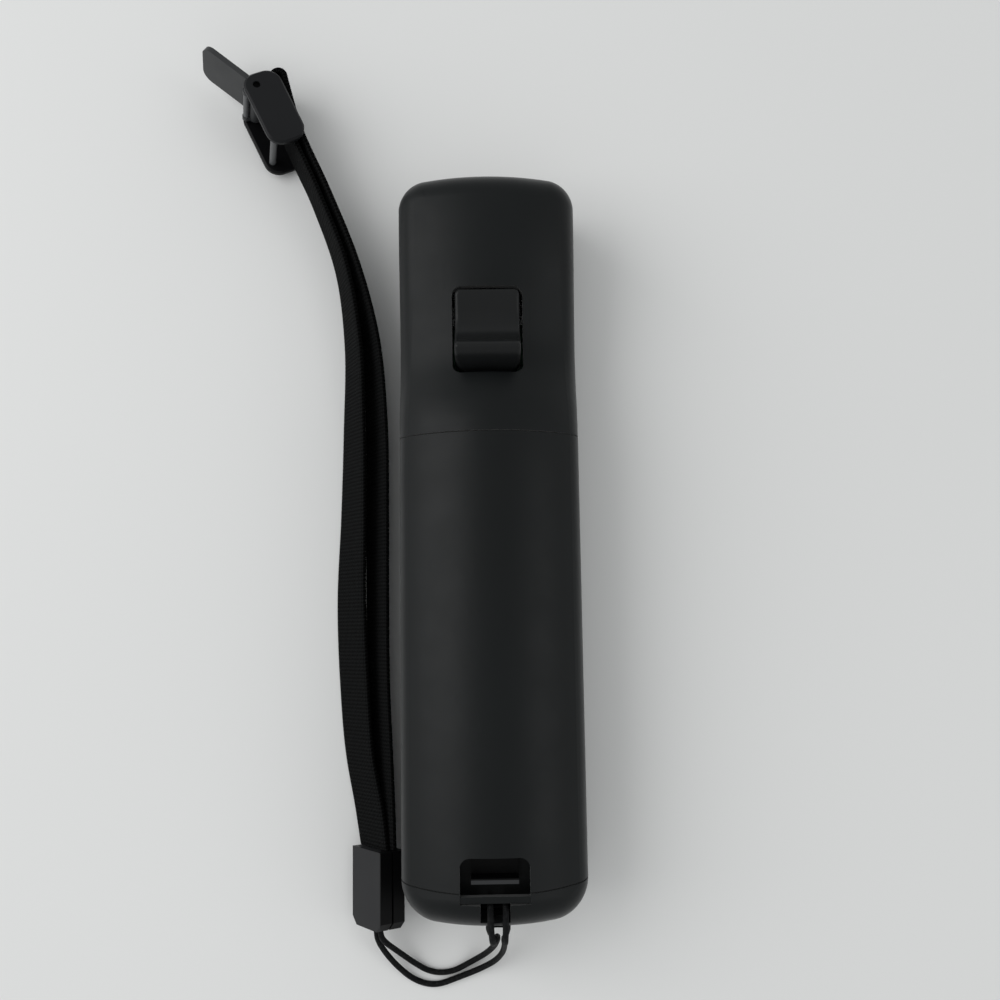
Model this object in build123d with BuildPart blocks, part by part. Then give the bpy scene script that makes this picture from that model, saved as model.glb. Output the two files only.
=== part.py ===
from build123d import *

import os
from math import cos, pi, radians, sin, sqrt, tan

os.makedirs("parts", exist_ok=True)

# Motion controller wand, lying on its buttons with its back up.
# +Z is the back, +Y the nose, X runs across. All sizes are in millimetres.
# The origin is under the middle of the controller, on the surface that it lies on.
# Places along the case are distances from the nose and follow its length, as most sideways ones
# follow its width.

# Case
case_length = 148.0
case_width = 36.2
case_wall = 1.8
cell_depth = 27.0
nose_depth = 24.8
scoop_depth = 22.6
joint_depth = 13.2
cell_crown = 0.69061 * case_width
nose_crown = 1.16022 * case_width
side_round = 5.5
front_round = 2.0
nose_corner = 6.3
tail_corner = 7.8
end_bow = 0.4
scoop_start = 0.08108 * case_length
scoop_low = 0.22297 * case_length
scoop_floor = 0.02027 * case_length
scoop_end = 0.36486 * case_length
section_count = 19
section_overhang = 4.0
section_share = 0.54

# Clearances
seam_gap = 0.25
seat_gap = 0.1
run_gap = 0.2
bore_gap = 0.08
socket_gap = 0.12
clear_gap = 0.35
overrun = 5.0

# Buttons, placed from the nose and sideways from the middle
button_stand = 1.8
small_stand = 0.9
button_bevel = 0.35
main_dome = 1.2
button_flange = 0.8
flange_thick = 0.7
button_hole_gap = 0.25
main_radius = 6.5
lower_radius = 4.0
small_radius = 2.75
side_place = 0.26243 * case_width
power_place = 0.05743 * case_length
pad_place = 0.14527 * case_length
main_place = 0.29054 * case_length
middle_place = 0.43919 * case_length
one_place = 0.69595 * case_length
two_place = 0.76689 * case_length

# Cross pad
pad_span = 17.5
pad_arm = 6.0
pad_bevel = 0.4
pad_hole_gap = 0.5
pad_flange_radius = 9.6
pad_flange_thick = 0.6
pad_flange_gap = 0.65
ball_height = 1.4
ball_stem = 0.9
ball_radius = 1.6

# Board and keypad
board_height = 3.1
board_thick = 1.0
board_gap = 0.5
board_start = 0.03716 * case_length
board_end = 0.88851 * case_length
shelf_radius = 1.3
shelf_side = 0.39227 * case_width
shelf_shares = (0.10811, 0.36486, 0.62162, 0.83784)
keypad_width = 0.67403 * case_width
keypad_thick = 0.6
keypad_start = 0.03041 * case_length
keypad_end = 0.80405 * case_length
keypad_dome = 0.5
keypad_dome_inset = 0.6
keypad_corner = 2.0
keypad_pad_hole = 2.2

# Speaker and grille
speaker_place = 0.54054 * case_length
speaker_radius = 8.0
speaker_thick = 4.0
cone_radius = 6.2
cone_dish = 0.7
cone_taper = 8.0
speaker_rim = 0.6
grille_hole = 0.6
grille_pitch = 2.2
grille_rows = (3, 5, 5, 5, 3)

# Lamps by the tail
lamp_place = 0.85811 * case_length
lamp_pitch = 6.5
lamp_count = 4
lamp_length = 2.4
lamp_width = 1.2
lamp_recess = 0.1
diode_size = 1.6
diode_thick = 0.7

# Nose window and camera
window_width = 0.46961 * case_width
window_tall = 9.0
window_centre = 8.0
window_thick = 1.2
window_corner = 1.5
window_recess = 0.2
window_ledge = 0.8
camera_width = 9.0
camera_length = 6.0
camera_tall = 6.0
camera_place = 0.07095 * case_length
barrel_radius = 3.0
barrel_length = 3.2
lens_radius = 2.2
lens_thick = 0.6

# Trigger
trigger_slot_start = 0.16216 * case_length
trigger_slot_length = 17.7
trigger_slot_width = 14.2
trigger_slot_corner = 1.8
trigger_gap = 0.6
trigger_base_depth = 17.6
trigger_height = 11.4
trigger_tip_round = 2.4
trigger_edge_round = 0.7
pivot_place = 0.1473 * case_length
pivot_rise = 1.4
pivot_hub = 1.9
pivot_radius = 0.9
pivot_span = 0.48619 * case_width
trigger_arm = 2.4
cheek_width = 1.6
cheek_reach = 2.6
trigger_top_shares = (
    (0.0, 0.53),
    (0.14, 0.505),
    (0.36, 0.455),
    (0.55, 0.56),
    (0.68, 0.80),
    (0.75, 0.965),
)
trigger_back_shares = ((0.80, 1.0), (0.875, 0.90), (0.945, 0.66), (1.0, 0.30))
trigger_under_shares = ((1.0, 0.06), (0.60, 0.06), (0.52, 0.15), (0.0, 0.15))
trigger_travel = 5.0
spring_radius = 2.2
spring_length = 2.6

# Trigger switch on its bridge
switch_place = 0.25 * case_length
bridge_length = 12.0
bridge_width = 12.0
bridge_wall = 1.4
switch_size = 6.0
switch_thick = 2.6
switch_key_radius = 1.5
switch_key_thick = 0.7
switch_free = 0.15

# Battery cover, bay and cells
cover_start = 0.36419 * case_length
cover_end = 0.95676 * case_length
cover_slant = 8.0
hook_width = 4.0
hook_reach = 1.3
hook_root = 2.5
hook_thick = 1.2
hook_side = 3.5
hook_drop = 1.1
notch_width = 13.2
notch_start = 0.91081 * case_length
notch_corner = 2.0
deck_depth = 18.2
deck_wall = 1.4
bay_wall = 1.0
bay_start = 0.45811 * case_length
bulkhead_wall = 1.2
bulkhead_clear = 0.4
cell_radius = 0.20028 * case_width
cell_length = 0.33243 * case_length
nub_length = 1.3
cell_nub_radius = 2.7
cell_height = 15.8
cell_spacing = 0.40884 * case_width
cell_bevel = 0.6
cell_gap = 0.25
contact_thick = 0.4
contact_width = 9.0
contact_tall = 8.0
contact_bow = 2.2
contact_gap = 0.1
contact_foot = 0.1

# Cover latch
latch_width = 9.0
latch_wall = 1.0
latch_drop = 6.0
latch_end = 0.94527 * case_length
latch_top_depth = 24.6
latch_reach = 6.3

# Strap fixing in the tail
bar_width = 1.2
bar_tall = 1.9
bar_depth = 25.9
bar_start = 0.95878 * case_length
bar_root = 0.5
bar_recess = 0.96858 * case_length
well_width = 5.6
well_end = 0.99257 * case_length
well_wall = 1.4
strap_pin_radius = 0.6
strap_pin_place = 0.97838 * case_length
strap_pin_depth = 20.9

# Pairing button
pairing_place = 0.86757 * case_length
pairing_head = 1.7
pairing_stand = 0.8
pairing_stem = 1.0
pairing_flange = 2.4
pairing_flange_thick = 0.8
pairing_travel_room = 0.5
pairing_switch = 4.0
pairing_switch_thick = 1.5

# Screws and their posts
screw_side = 0.34807 * case_width
screw_shares = (0.40135, 0.92297)
screw_radius = 0.8
screw_head_radius = 1.8
screw_head_thick = 1.3
screw_length = 9.0
screw_cross = 0.45
screw_cross_depth = 0.6
post_radius = 2.2
post_bore_gap = 0.06
post_board_gap = 0.4

# Rumble motor
motor_place = 0.40676 * case_length
motor_radius = 3.2
motor_length = 9.5
motor_side = -9.6
motor_lift = 1.6
shaft_radius = 0.5
shaft_length = 4.6
weight_radius = 3.9
weight_thick = 2.8
weight_gap = 0.8
weight_hub = 1.3
cradle_width = 6.0
cradle_length = 8.4

# Chips and shield
shield_place = 0.15541 * case_length
shield_length = 10.0
shield_width = 15.0
shield_thick = 2.0
shield_round = 0.6
chip_thick = 0.9
chip_gap = 0.02
processor_place = 0.64189 * case_length
processor_size = 9.0
memory_place = 0.72973 * case_length
memory_side = 6.5
memory_width = 4.0
memory_length = 5.0
sensor_place = 0.3277 * case_length
sensor_size = 4.5

# Expansion connector
port_width = 0.48619 * case_width
port_tall = 8.2
port_centre = 7.0
port_depth = 11.0
port_wall = 0.9
port_corner = 1.6
port_recess = 0.4
tongue_width = 12.0
tongue_thick = 1.4
tongue_inset = 5.0
port_hole_gap = 0.2

# Wrist strap cord. A route's points give X, Y from the tip of the tail, and Z.
cord_diameter = 1.2
cord_sides = 8
bend_share = 0.45
left_cord_route = (
    (0.5, -0.95, 19.1),
    (-0.55, -0.95, 19.1),
    (-1.3, -0.95, 20),
    (-1.3, -0.95, 22.2),
    (-1, -0.95, 24.7),
    (-0.95, -0.6, 27),
    (-0.95, 0.7, 28.3),
    (-0.95, 2, 27),
    (-0.95, 1.85, 24.6),
    (-0.95, 1.75, 22.2),
    (-0.95, 2.4, 20.85),
    (-0.95, 4, 20.85),
    (-0.95, 4.65, 22.2),
    (-0.95, 4.5, 24.6),
    (-0.95, 3.9, 27.3),
    (-0.9, 2.6, 29.5),
    (-0.8, 0.4, 29.9),
    (-0.6, -1.9, 28.6),
    (-0.3, -2.8, 25.4),
    (0.1, -2.8, 21.5),
    (0.35, -3.5, 17.5),
    (0.3, -5.6, 12.6),
    (-0.3, -8, 7.6),
    (-2, -10.6, 3.2),
    (-5.2, -12.9, 0.85),
    (-9.3, -15, 0.62),
    (-13.6, -14.9, 0.62),
    (-17.2, -12.6, 1.3),
    (-20.2, -9.8, 3.4),
    (-22.4, -7.6, 5.6),
    (-23.4, -5.9, 6.86),
    (-23.4, -4.12, 6.86),
)
right_cord_route = (
    (0.5, -0.95, 19.1),
    (1.55, -0.95, 19.1),
    (2.3, -0.95, 20),
    (2.3, -0.95, 22.2),
    (2, -0.95, 24.7),
    (1.95, -0.6, 27),
    (1.95, 0.7, 28.3),
    (1.95, 2, 27),
    (1.95, 1.85, 24.6),
    (1.95, 1.75, 22.2),
    (1.95, 2.4, 20.85),
    (1.95, 4, 20.85),
    (1.95, 4.65, 22.2),
    (1.95, 4.5, 24.6),
    (1.95, 3.9, 27.3),
    (1.9, 2.6, 29.5),
    (1.85, 0.4, 29.9),
    (1.75, -1.9, 28.6),
    (1.65, -2.8, 25.4),
    (1.6, -2.9, 21.5),
    (1.7, -3.8, 17.5),
    (1.8, -6.3, 12.4),
    (1.5, -9.2, 7.4),
    (0, -12, 3.4),
    (-3.4, -14.3, 1),
    (-7.9, -16, 0.62),
    (-12.6, -17.6, 0.62),
    (-17, -16.4, 0.7),
    (-20.6, -13, 2),
    (-23, -9.6, 3.6),
    (-24.1, -7.1, 5.1),
    (-24.28, -5.6, 5.64),
    (-24.28, -4.12, 5.64),
)

# Strap end clamp
clamp_corner_x = -0.68785 * case_width
clamp_corner_y = -0.42297 * case_length
clamp_stand = 0.03
clamp_lean = 36.0
clamp_length = 15.5
clamp_width = 11.3
clamp_half = 2.6
clamp_split = 0.4
clamp_bevel = 1.6

# Wrist webbing. Each row is a place along the strap: how far it lies up the controller, the lower and
# the upper edge of the left layer, those of the right layer, and how high the strap stands there.
# The first is a share of the case's length, the others are shares of its width.
web_thick = 1.2
web_width = 10.5
web_stand = 0.05
web_fold = 1.6
web_row_shares = (
    (-0.422, -0.786, -0.614, -0.745, -0.573, 0.047),
    (-0.375, -0.820, -0.640, -0.752, -0.580, 0.022),
    (-0.300, -0.870, -0.690, -0.750, -0.592, 0.0),
    (-0.200, -0.900, -0.715, -0.752, -0.606, 0.0),
    (-0.080, -0.910, -0.728, -0.752, -0.606, 0.0),
    (0.040, -0.888, -0.724, -0.757, -0.611, 0.0),
    (0.170, -0.873, -0.729, -0.757, -0.630, 0.0),
    (0.300, -0.873, -0.760, -0.785, -0.674, 0.006),
    (0.410, -0.935, -0.850, -0.873, -0.780, 0.020),
    (0.510, -1.070, -1.003, -1.020, -0.940, 0.055),
    (0.615, -1.258, -1.190, -1.200, -1.125, 0.070),
    (0.685, -1.350, -1.285, -1.268, -1.205, 0.070),
)

# Strap lock clip
clip_x = -1.32597 * case_width
clip_y = 0.61959 * case_length
clip_stand = 0.1
clip_heading = 115.5
clip_tilt = 14.0
clip_length = 17.1
clip_width = 8.4
clip_corner = 3.2
clip_cheek = 1.5
clip_opening = 11.6
clip_bevel = 0.4
clip_post_radius = 0.75
clip_post_shares = (-0.322, 0.286)
clip_pivot_shares = (0.339, 0.167)
clip_pin_radius = 0.8
clip_pin_recess = 0.5
lever_angle = 28.4
lever_gap = 0.3
lever_length = 14.6
lever_thick = 1.2
lever_offset = 1.0
lever_tip_round = 2.4
lever_hub = 1.5
lever_link = 1.1
cam_radius = 0.65
cam_reach = 2.14
cam_angle = 51.0


def from_nose(distance):
    """The Y place of something that lies a distance from the tip of the nose."""
    return case_length / 2 - distance


def ease(place, start, end):
    """Go smoothly from 0 at start to 1 at end."""
    share = min(max((place - start) / (end - start), 0), 1)
    return share * share * (3 - 2 * share)


def back_depth(place):
    """Depth of the case, front face to back, at a distance from the nose."""
    fall = (nose_depth - scoop_depth) * ease(place, scoop_start, scoop_low)
    climb = (cell_depth - scoop_depth) * ease(place, scoop_low + scoop_floor, scoop_end)
    return nose_depth - fall + climb


def crown_radius(place):
    """Radius of the back, across the case, at a distance from the nose."""
    return nose_crown + (cell_crown - nose_crown) * ease(place, 0, scoop_end)


def plan_outline(inset):
    """Outline of the case seen from the front, drawn in by inset."""
    half_width = case_width / 2 - inset
    half_length = case_length / 2 - inset
    with BuildSketch() as outline:
        with BuildLine():
            nose = ThreePointArc(
                (-half_width, half_length - end_bow), (0, half_length), (half_width, half_length - end_bow)
            )
            tail = ThreePointArc(
                (half_width, end_bow - half_length), (0, -half_length), (-half_width, end_bow - half_length)
            )
            Line(nose @ 1, tail @ 0)
            Line(tail @ 1, nose @ 0)
        make_face()
        fillet(outline.vertices().group_by(Axis.Y)[-1], nose_corner - inset)
        fillet(outline.vertices().group_by(Axis.Y)[0], tail_corner - inset)
    return outline.sketch


def case_form(inset):
    """The outside of the whole case as one solid, drawn in by inset on every side."""
    spacing = (case_length + 2 * section_overhang) / (section_count - 1)
    half = section_share * case_width
    with BuildPart() as form:
        for section in range(section_count):
            place = section * spacing - section_overhang
            top = face_z + back_depth(place) - inset
            radius = crown_radius(place) - inset
            shoulder = top - radius + sqrt(radius**2 - half**2)
            with BuildSketch(Plane.XZ.offset(-from_nose(place))):
                with BuildLine():
                    crown = ThreePointArc((-half, shoulder), (0, top), (half, shoulder))
                    Polyline(crown @ 1, (half, 0), (-half, 0), crown @ 0)
                make_face()
        loft()
        with BuildSketch(Plane.XY.offset(face_z + inset)):
            add(plan_outline(inset))
        extrude(amount=cell_depth + overrun, mode=Mode.INTERSECT)
        fillet(form.faces().sort_by(Axis.Z)[-1].edges(), side_round - inset)
        if inset == 0:
            fillet(form.faces().sort_by(Axis.Z)[0].edges(), front_round)
    return form.part


def slab(low_place, high_place, half_width, low_z, high_z):
    """A block between two distances from the nose, as wide each side as given."""
    with BuildPart() as block:
        with BuildSketch(Plane.XY.offset(low_z)):
            with Locations((0, from_nose((low_place + high_place) / 2))):
                Rectangle(2 * half_width, high_place - low_place)
        extrude(amount=high_z - low_z)
    return block.part


def cover_block(gap):
    """The stretch of the back that the battery cover fills, shorter by gap at each end."""
    low = joint_z - overrun
    high = face_z + cell_depth + overrun
    lean = tan(radians(cover_slant))
    tail_low = cover_end - gap - (face_z + cell_depth - low) * lean
    tail_high = cover_end - gap + overrun * lean
    with BuildPart() as block:
        with BuildSketch(Plane.YZ):
            with BuildLine():
                Polyline(
                    (from_nose(cover_start + gap), low),
                    (from_nose(tail_low), low),
                    (from_nose(tail_high), high),
                    (from_nose(cover_start + gap), high),
                    close=True,
                )
            make_face()
        extrude(amount=case_width, both=True)
    return block.part


# Heights above the surface that the controller lies on
face_z = button_stand
inside_z = face_z + case_wall
joint_z = face_z + joint_depth
board_z = inside_z + board_height
board_top_z = board_z + board_thick
deck_z = face_z + deck_depth
deck_low_z = deck_z - deck_wall
cell_z = face_z + cell_height
bay_floor_z = cell_z - cell_radius - cell_gap
bay_low_z = bay_floor_z - bulkhead_wall
bay_half = cell_spacing / 2 + cell_radius + cell_gap
bay_end = bay_start + contact_bow + contact_gap + cell_length + nub_length + contact_thick + contact_gap
cover_half = case_width / 2 - case_wall - clear_gap
port_z = face_z + port_centre
window_z = face_z + window_centre
pivot_z = face_z + trigger_base_depth + pivot_rise
flange_z = inside_z + seat_gap
keypad_z = board_z - seat_gap - keypad_thick
motor_z = board_top_z + motor_lift + motor_radius
ball_z = inside_z + ball_height
strap_pin_z = face_z + strap_pin_depth

case_outside = case_form(0)
case_inside = case_form(case_wall)

# Every round button: name, distance from the nose, sideways place, radius, stand and dome
round_buttons = (
    ("power_button", power_place, side_place, small_radius, small_stand, button_bevel),
    ("main_button", main_place, 0, main_radius, button_stand, main_dome),
    ("minus_button", middle_place, side_place, small_radius, small_stand, button_bevel),
    ("home_button", middle_place, 0, small_radius, small_stand, button_bevel),
    ("plus_button", middle_place, -side_place, small_radius, small_stand, button_bevel),
    ("first_button", one_place, 0, lower_radius, button_stand, button_bevel),
    ("second_button", two_place, 0, lower_radius, button_stand, button_bevel),
)
lamp_sides = [lamp_pitch * (lamp - (lamp_count - 1) / 2) for lamp in range(lamp_count)]
screw_spots = [
    (side * screw_side, from_nose(share * case_length)) for side in (-1, 1) for share in screw_shares
]


def cross_outline(gap):
    """The cross pad's outline, wider by gap all round."""
    with BuildSketch() as cross:
        Rectangle(pad_span + 2 * gap, pad_arm + 2 * gap)
        Rectangle(pad_arm + 2 * gap, pad_span + 2 * gap)
    return cross.sketch


# Front shell, with the face that carries the buttons
with BuildPart() as front_shell:
    add(case_outside)
    add(case_inside, mode=Mode.SUBTRACT)
    split(bisect_by=Plane.XY.offset(joint_z - seam_gap / 2), keep=Keep.BOTTOM)
    with BuildSketch(Plane.XY.offset(inside_z)):
        for side in (-1, 1):
            for share in shelf_shares:
                with Locations((side * shelf_side, from_nose(share * case_length))):
                    Circle(shelf_radius)
    extrude(amount=board_height - seat_gap)
    with BuildSketch(Plane.XY.offset(inside_z)):
        with Locations(*screw_spots):
            Circle(post_radius)
    extrude(amount=deck_low_z - inside_z - seat_gap)
    with BuildSketch(Plane.XY.offset(deck_low_z - seat_gap)):
        with Locations(*screw_spots):
            Circle(screw_radius + post_bore_gap)
    extrude(amount=-screw_length, mode=Mode.SUBTRACT)
    with BuildSketch(Plane.XY):
        for name, place, sideways, radius, stand, dome in round_buttons:
            with Locations((sideways, from_nose(place))):
                Circle(radius + button_hole_gap)
        with Locations((0, from_nose(pad_place))):
            add(cross_outline(pad_hole_gap))
        for side in lamp_sides:
            with Locations((side, from_nose(lamp_place))):
                Rectangle(lamp_length + 2 * seat_gap, lamp_width + 2 * seat_gap)
        for row, holes in enumerate(grille_rows):
            for hole in range(holes):
                across = (hole - (holes - 1) / 2) * grille_pitch
                down = (row - (len(grille_rows) - 1) / 2) * grille_pitch
                with Locations((across, from_nose(speaker_place + down))):
                    Circle(grille_hole)
    extrude(amount=inside_z + seat_gap, mode=Mode.SUBTRACT)
    with BuildSketch(Plane.XZ.offset(-from_nose(-overrun))):
        with Locations((0, window_z)):
            RectangleRounded(
                window_width + 2 * seat_gap, window_tall + 2 * seat_gap, window_corner + seat_gap
            )
    extrude(amount=overrun + window_recess + window_thick + seat_gap, mode=Mode.SUBTRACT)
    with BuildSketch(Plane.XZ.offset(-from_nose(-overrun))):
        with Locations((0, window_z)):
            RectangleRounded(
                window_width - 2 * window_ledge,
                window_tall - 2 * window_ledge,
                window_corner - window_ledge,
            )
    extrude(amount=2 * overrun, mode=Mode.SUBTRACT)
    with BuildSketch(Plane.XZ.offset(-from_nose(case_length + overrun))):
        with Locations((0, port_z)):
            RectangleRounded(
                port_width + 2 * port_hole_gap, port_tall + 2 * port_hole_gap, port_corner + port_hole_gap
            )
    extrude(amount=-2 * overrun, mode=Mode.SUBTRACT)
front_shell.part.label = "front_shell"
export_step(front_shell.part, "parts/front_shell.step")

# Back shell: nose and tail of the back, with the cell bay let down between them
with BuildPart() as bay_block:
    add(
        slab(
            cover_start - hook_reach - bulkhead_clear - bulkhead_wall,
            case_length,
            cover_half,
            deck_low_z,
            deck_z,
        )
    )
    add(slab(bay_start - bulkhead_wall, bay_end + bulkhead_wall, bay_half + bay_wall, bay_low_z, deck_z))
    add(
        slab(
            cover_start - hook_reach - bulkhead_clear - bulkhead_wall,
            cover_start - hook_reach - bulkhead_clear,
            case_width / 2,
            deck_low_z,
            face_z + cell_depth,
        )
    )
    add(
        slab(
            bar_recess,
            well_end + well_wall,
            well_width / 2 + well_wall,
            deck_low_z,
            face_z + cell_depth,
        )
    )
    add(case_inside, mode=Mode.INTERSECT)
    add(slab(bay_start, bay_end, bay_half, bay_floor_z, face_z + cell_depth), mode=Mode.SUBTRACT)

with BuildPart() as back_shell:
    add(case_outside)
    add(case_inside, mode=Mode.SUBTRACT)
    split(bisect_by=Plane.XY.offset(joint_z + seam_gap / 2), keep=Keep.TOP)
    add(cover_block(0), mode=Mode.SUBTRACT)
    add(bay_block.part)
    for side in (-1, 1):
        with BuildSketch(Plane.YZ.offset(side * (trigger_slot_width / 2 + run_gap))):
            with Locations((from_nose(pivot_place), pivot_z + cheek_reach)):
                Rectangle(2 * cheek_reach, 4 * cheek_reach)
        extrude(amount=side * cheek_width)
    with BuildPart(mode=Mode.PRIVATE) as above_back:
        add(slab(-overrun, case_length + overrun, case_width, joint_z, face_z + cell_depth + overrun))
        add(case_outside, mode=Mode.SUBTRACT)
    add(above_back.part, mode=Mode.SUBTRACT)
    with BuildSketch(Plane.YZ):
        with Locations((from_nose(pivot_place), pivot_z)):
            Circle(pivot_radius)
    extrude(amount=pivot_span / 2, both=True, mode=Mode.SUBTRACT)
    with BuildSketch(Plane.XY.offset(pivot_z)):
        with Locations((0, from_nose(trigger_slot_start + trigger_slot_length / 2))):
            RectangleRounded(trigger_slot_width, trigger_slot_length, trigger_slot_corner)
    extrude(amount=cell_depth, mode=Mode.SUBTRACT)
    with BuildSketch(Plane.XY.offset(deck_low_z - overrun)):
        with Locations(*screw_spots):
            Circle(screw_radius + bore_gap)
    extrude(amount=2 * overrun, mode=Mode.SUBTRACT)
    with BuildSketch(Plane.XY.offset(deck_low_z - overrun)):
        with Locations((0, from_nose(pairing_place))):
            Circle(pairing_head + run_gap)
    extrude(amount=2 * overrun, mode=Mode.SUBTRACT)
    add(
        slab(cover_end - overrun, bar_recess, notch_width / 2, deck_z, face_z + cell_depth + overrun),
        mode=Mode.SUBTRACT,
    )
    add(
        slab(bar_recess - overrun, well_end, well_width / 2, deck_z, face_z + cell_depth + overrun),
        mode=Mode.SUBTRACT,
    )
    with BuildSketch(Plane.YZ):
        with Locations((from_nose(strap_pin_place), strap_pin_z)):
            Circle(strap_pin_radius)
    extrude(amount=well_width / 2 + well_wall, both=True, mode=Mode.SUBTRACT)
    add(
        slab(
            bar_start,
            bar_start + bar_width,
            notch_width / 2 + bar_root,
            face_z + bar_depth - bar_tall,
            face_z + bar_depth,
        )
    )
back_shell.part.label = "back_shell"
export_step(back_shell.part, "parts/back_shell.step")

# Battery cover, with two hooks that go under the nose of the back shell
with BuildPart() as battery_cover:
    add(case_outside)
    add(case_inside, mode=Mode.SUBTRACT)
    split(bisect_by=Plane.XY.offset(joint_z + seam_gap / 2), keep=Keep.TOP)
    add(cover_block(seam_gap), mode=Mode.INTERSECT)
    with BuildSketch(Plane.XY.offset(deck_z)):
        with Locations((0, from_nose(notch_start + overrun))):
            RectangleRounded(notch_width, 2 * overrun, notch_corner)
        with Locations((0, from_nose(notch_start + 2 * overrun))):
            Rectangle(notch_width, 2 * overrun)
    extrude(amount=cell_depth, mode=Mode.SUBTRACT)
    for side in (-1, 1):
        hook_top = face_z + cell_depth - case_wall - hook_drop
        with BuildSketch(Plane.XY.offset(hook_top - hook_thick)):
            with Locations((side * hook_side, from_nose(cover_start + (hook_root - hook_reach) / 2))):
                Rectangle(hook_width, hook_reach + hook_root)
        extrude(amount=hook_thick)
        with BuildSketch(Plane.XY.offset(hook_top - hook_thick)):
            with Locations((side * hook_side, from_nose(cover_start + seam_gap + hook_root / 2))):
                Rectangle(hook_width, hook_root - 2 * seam_gap)
        extrude(amount=hook_thick + hook_drop + case_wall / 2)
battery_cover.part.label = "battery_cover"
export_step(battery_cover.part, "parts/battery_cover.step")

# Cover latch: a springy J whose free end shows in the cover's notch
latch_top_z = face_z + latch_top_depth
latch_low_z = latch_top_z - latch_drop
with BuildPart() as cover_latch:
    with BuildSketch(Plane.YZ):
        with BuildLine():
            Polyline(
                (from_nose(latch_end), latch_top_z),
                (from_nose(latch_end), latch_low_z),
                (from_nose(latch_end - latch_reach), latch_low_z),
                (from_nose(latch_end - latch_reach), latch_top_z),
                (from_nose(latch_end - latch_reach + latch_wall), latch_top_z),
                (from_nose(latch_end - latch_reach + latch_wall), latch_low_z + latch_wall),
                (from_nose(latch_end - latch_wall), latch_low_z + latch_wall),
                (from_nose(latch_end - latch_wall), latch_top_z),
                close=True,
            )
        make_face()
    extrude(amount=latch_width / 2, both=True)
    fillet(cover_latch.edges().filter_by(Axis.X).group_by(Axis.Z)[0], latch_wall)
cover_latch.part.label = "cover_latch"
export_step(cover_latch.part, "parts/cover_latch.step")

# Round buttons of the front face, each with a flange behind the face
for name, place, sideways, radius, stand, dome in round_buttons:
    with BuildPart() as button:
        with BuildSketch(Plane.XY.offset(face_z - stand)):
            with Locations((sideways, from_nose(place))):
                Circle(radius)
        extrude(amount=stand + case_wall + seat_gap + flange_thick)
        face_rim = button.faces().sort_by(Axis.Z)[0].edges()
        if dome == main_dome:
            fillet(face_rim, dome)
        else:
            chamfer(face_rim, dome)
        with BuildSketch(Plane.XY.offset(flange_z)):
            with Locations((sideways, from_nose(place))):
                Circle(radius + button_flange)
        extrude(amount=flange_thick)
    button.part.label = name
    export_step(button.part, f"parts/{name}.step")

# Cross pad, which rocks on a ball that stands on the board
with BuildPart() as cross_pad:
    with BuildSketch(Plane.XY):
        with Locations((0, from_nose(pad_place))):
            add(cross_outline(0))
    extrude(amount=inside_z + pad_flange_gap + pad_flange_thick)
    chamfer(cross_pad.faces().sort_by(Axis.Z)[0].edges(), pad_bevel)
    with BuildSketch(Plane.XY.offset(inside_z + pad_flange_gap)):
        with Locations((0, from_nose(pad_place))):
            Circle(pad_flange_radius)
    extrude(amount=pad_flange_thick)
    with Locations((0, from_nose(pad_place), ball_z)):
        Sphere(ball_radius + socket_gap, mode=Mode.SUBTRACT)
cross_pad.part.label = "cross_pad"
export_step(cross_pad.part, "parts/cross_pad.step")

with BuildPart() as pad_ball:
    with Locations((0, from_nose(pad_place), ball_z)):
        Sphere(ball_radius)
    with BuildSketch(Plane.XY.offset(ball_z)):
        with Locations((0, from_nose(pad_place))):
            Circle(ball_stem)
    extrude(amount=board_z - seat_gap - ball_z)
pad_ball.part.label = "pad_ball"
export_step(pad_ball.part, "parts/pad_ball.step")

# Keypad: one rubber sheet under the board, with a dome over every button
with BuildPart() as keypad_sheet:
    with BuildSketch(Plane.XY.offset(keypad_z)):
        with Locations((0, from_nose((keypad_start + keypad_end) / 2))):
            RectangleRounded(keypad_width, keypad_end - keypad_start, keypad_corner)
        with Locations((0, from_nose(pad_place))):
            Circle(keypad_pad_hole, mode=Mode.SUBTRACT)
        with Locations((0, from_nose(speaker_place))):
            Circle(speaker_radius + clear_gap, mode=Mode.SUBTRACT)
        with Locations(*screw_spots):
            Circle(post_radius + post_board_gap, mode=Mode.SUBTRACT)
    extrude(amount=keypad_thick)
    with BuildSketch(Plane.XY.offset(keypad_z - keypad_dome)):
        for name, place, sideways, radius, stand, dome in round_buttons:
            with Locations((sideways, from_nose(place))):
                Circle(radius - keypad_dome_inset)
    extrude(amount=keypad_dome)
keypad_sheet.part.label = "keypad_sheet"
export_step(keypad_sheet.part, "parts/keypad_sheet.step")

# Main circuit board, on the posts of the front shell
with BuildPart() as main_board:
    with BuildSketch(Plane.XY.offset(board_z)) as board_plan:
        with Locations((0, from_nose((board_start + board_end) / 2))):
            Rectangle(case_width - 2 * (case_wall + board_gap), board_end - board_start)
        chamfer(board_plan.vertices(), nose_corner - case_wall)
        with Locations((0, from_nose(speaker_place))):
            Circle(speaker_radius + clear_gap, mode=Mode.SUBTRACT)
        with Locations(*screw_spots):
            Circle(post_radius + post_board_gap, mode=Mode.SUBTRACT)
    extrude(amount=board_thick)
main_board.part.label = "main_board"
export_step(main_board.part, "parts/main_board.step")

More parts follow.
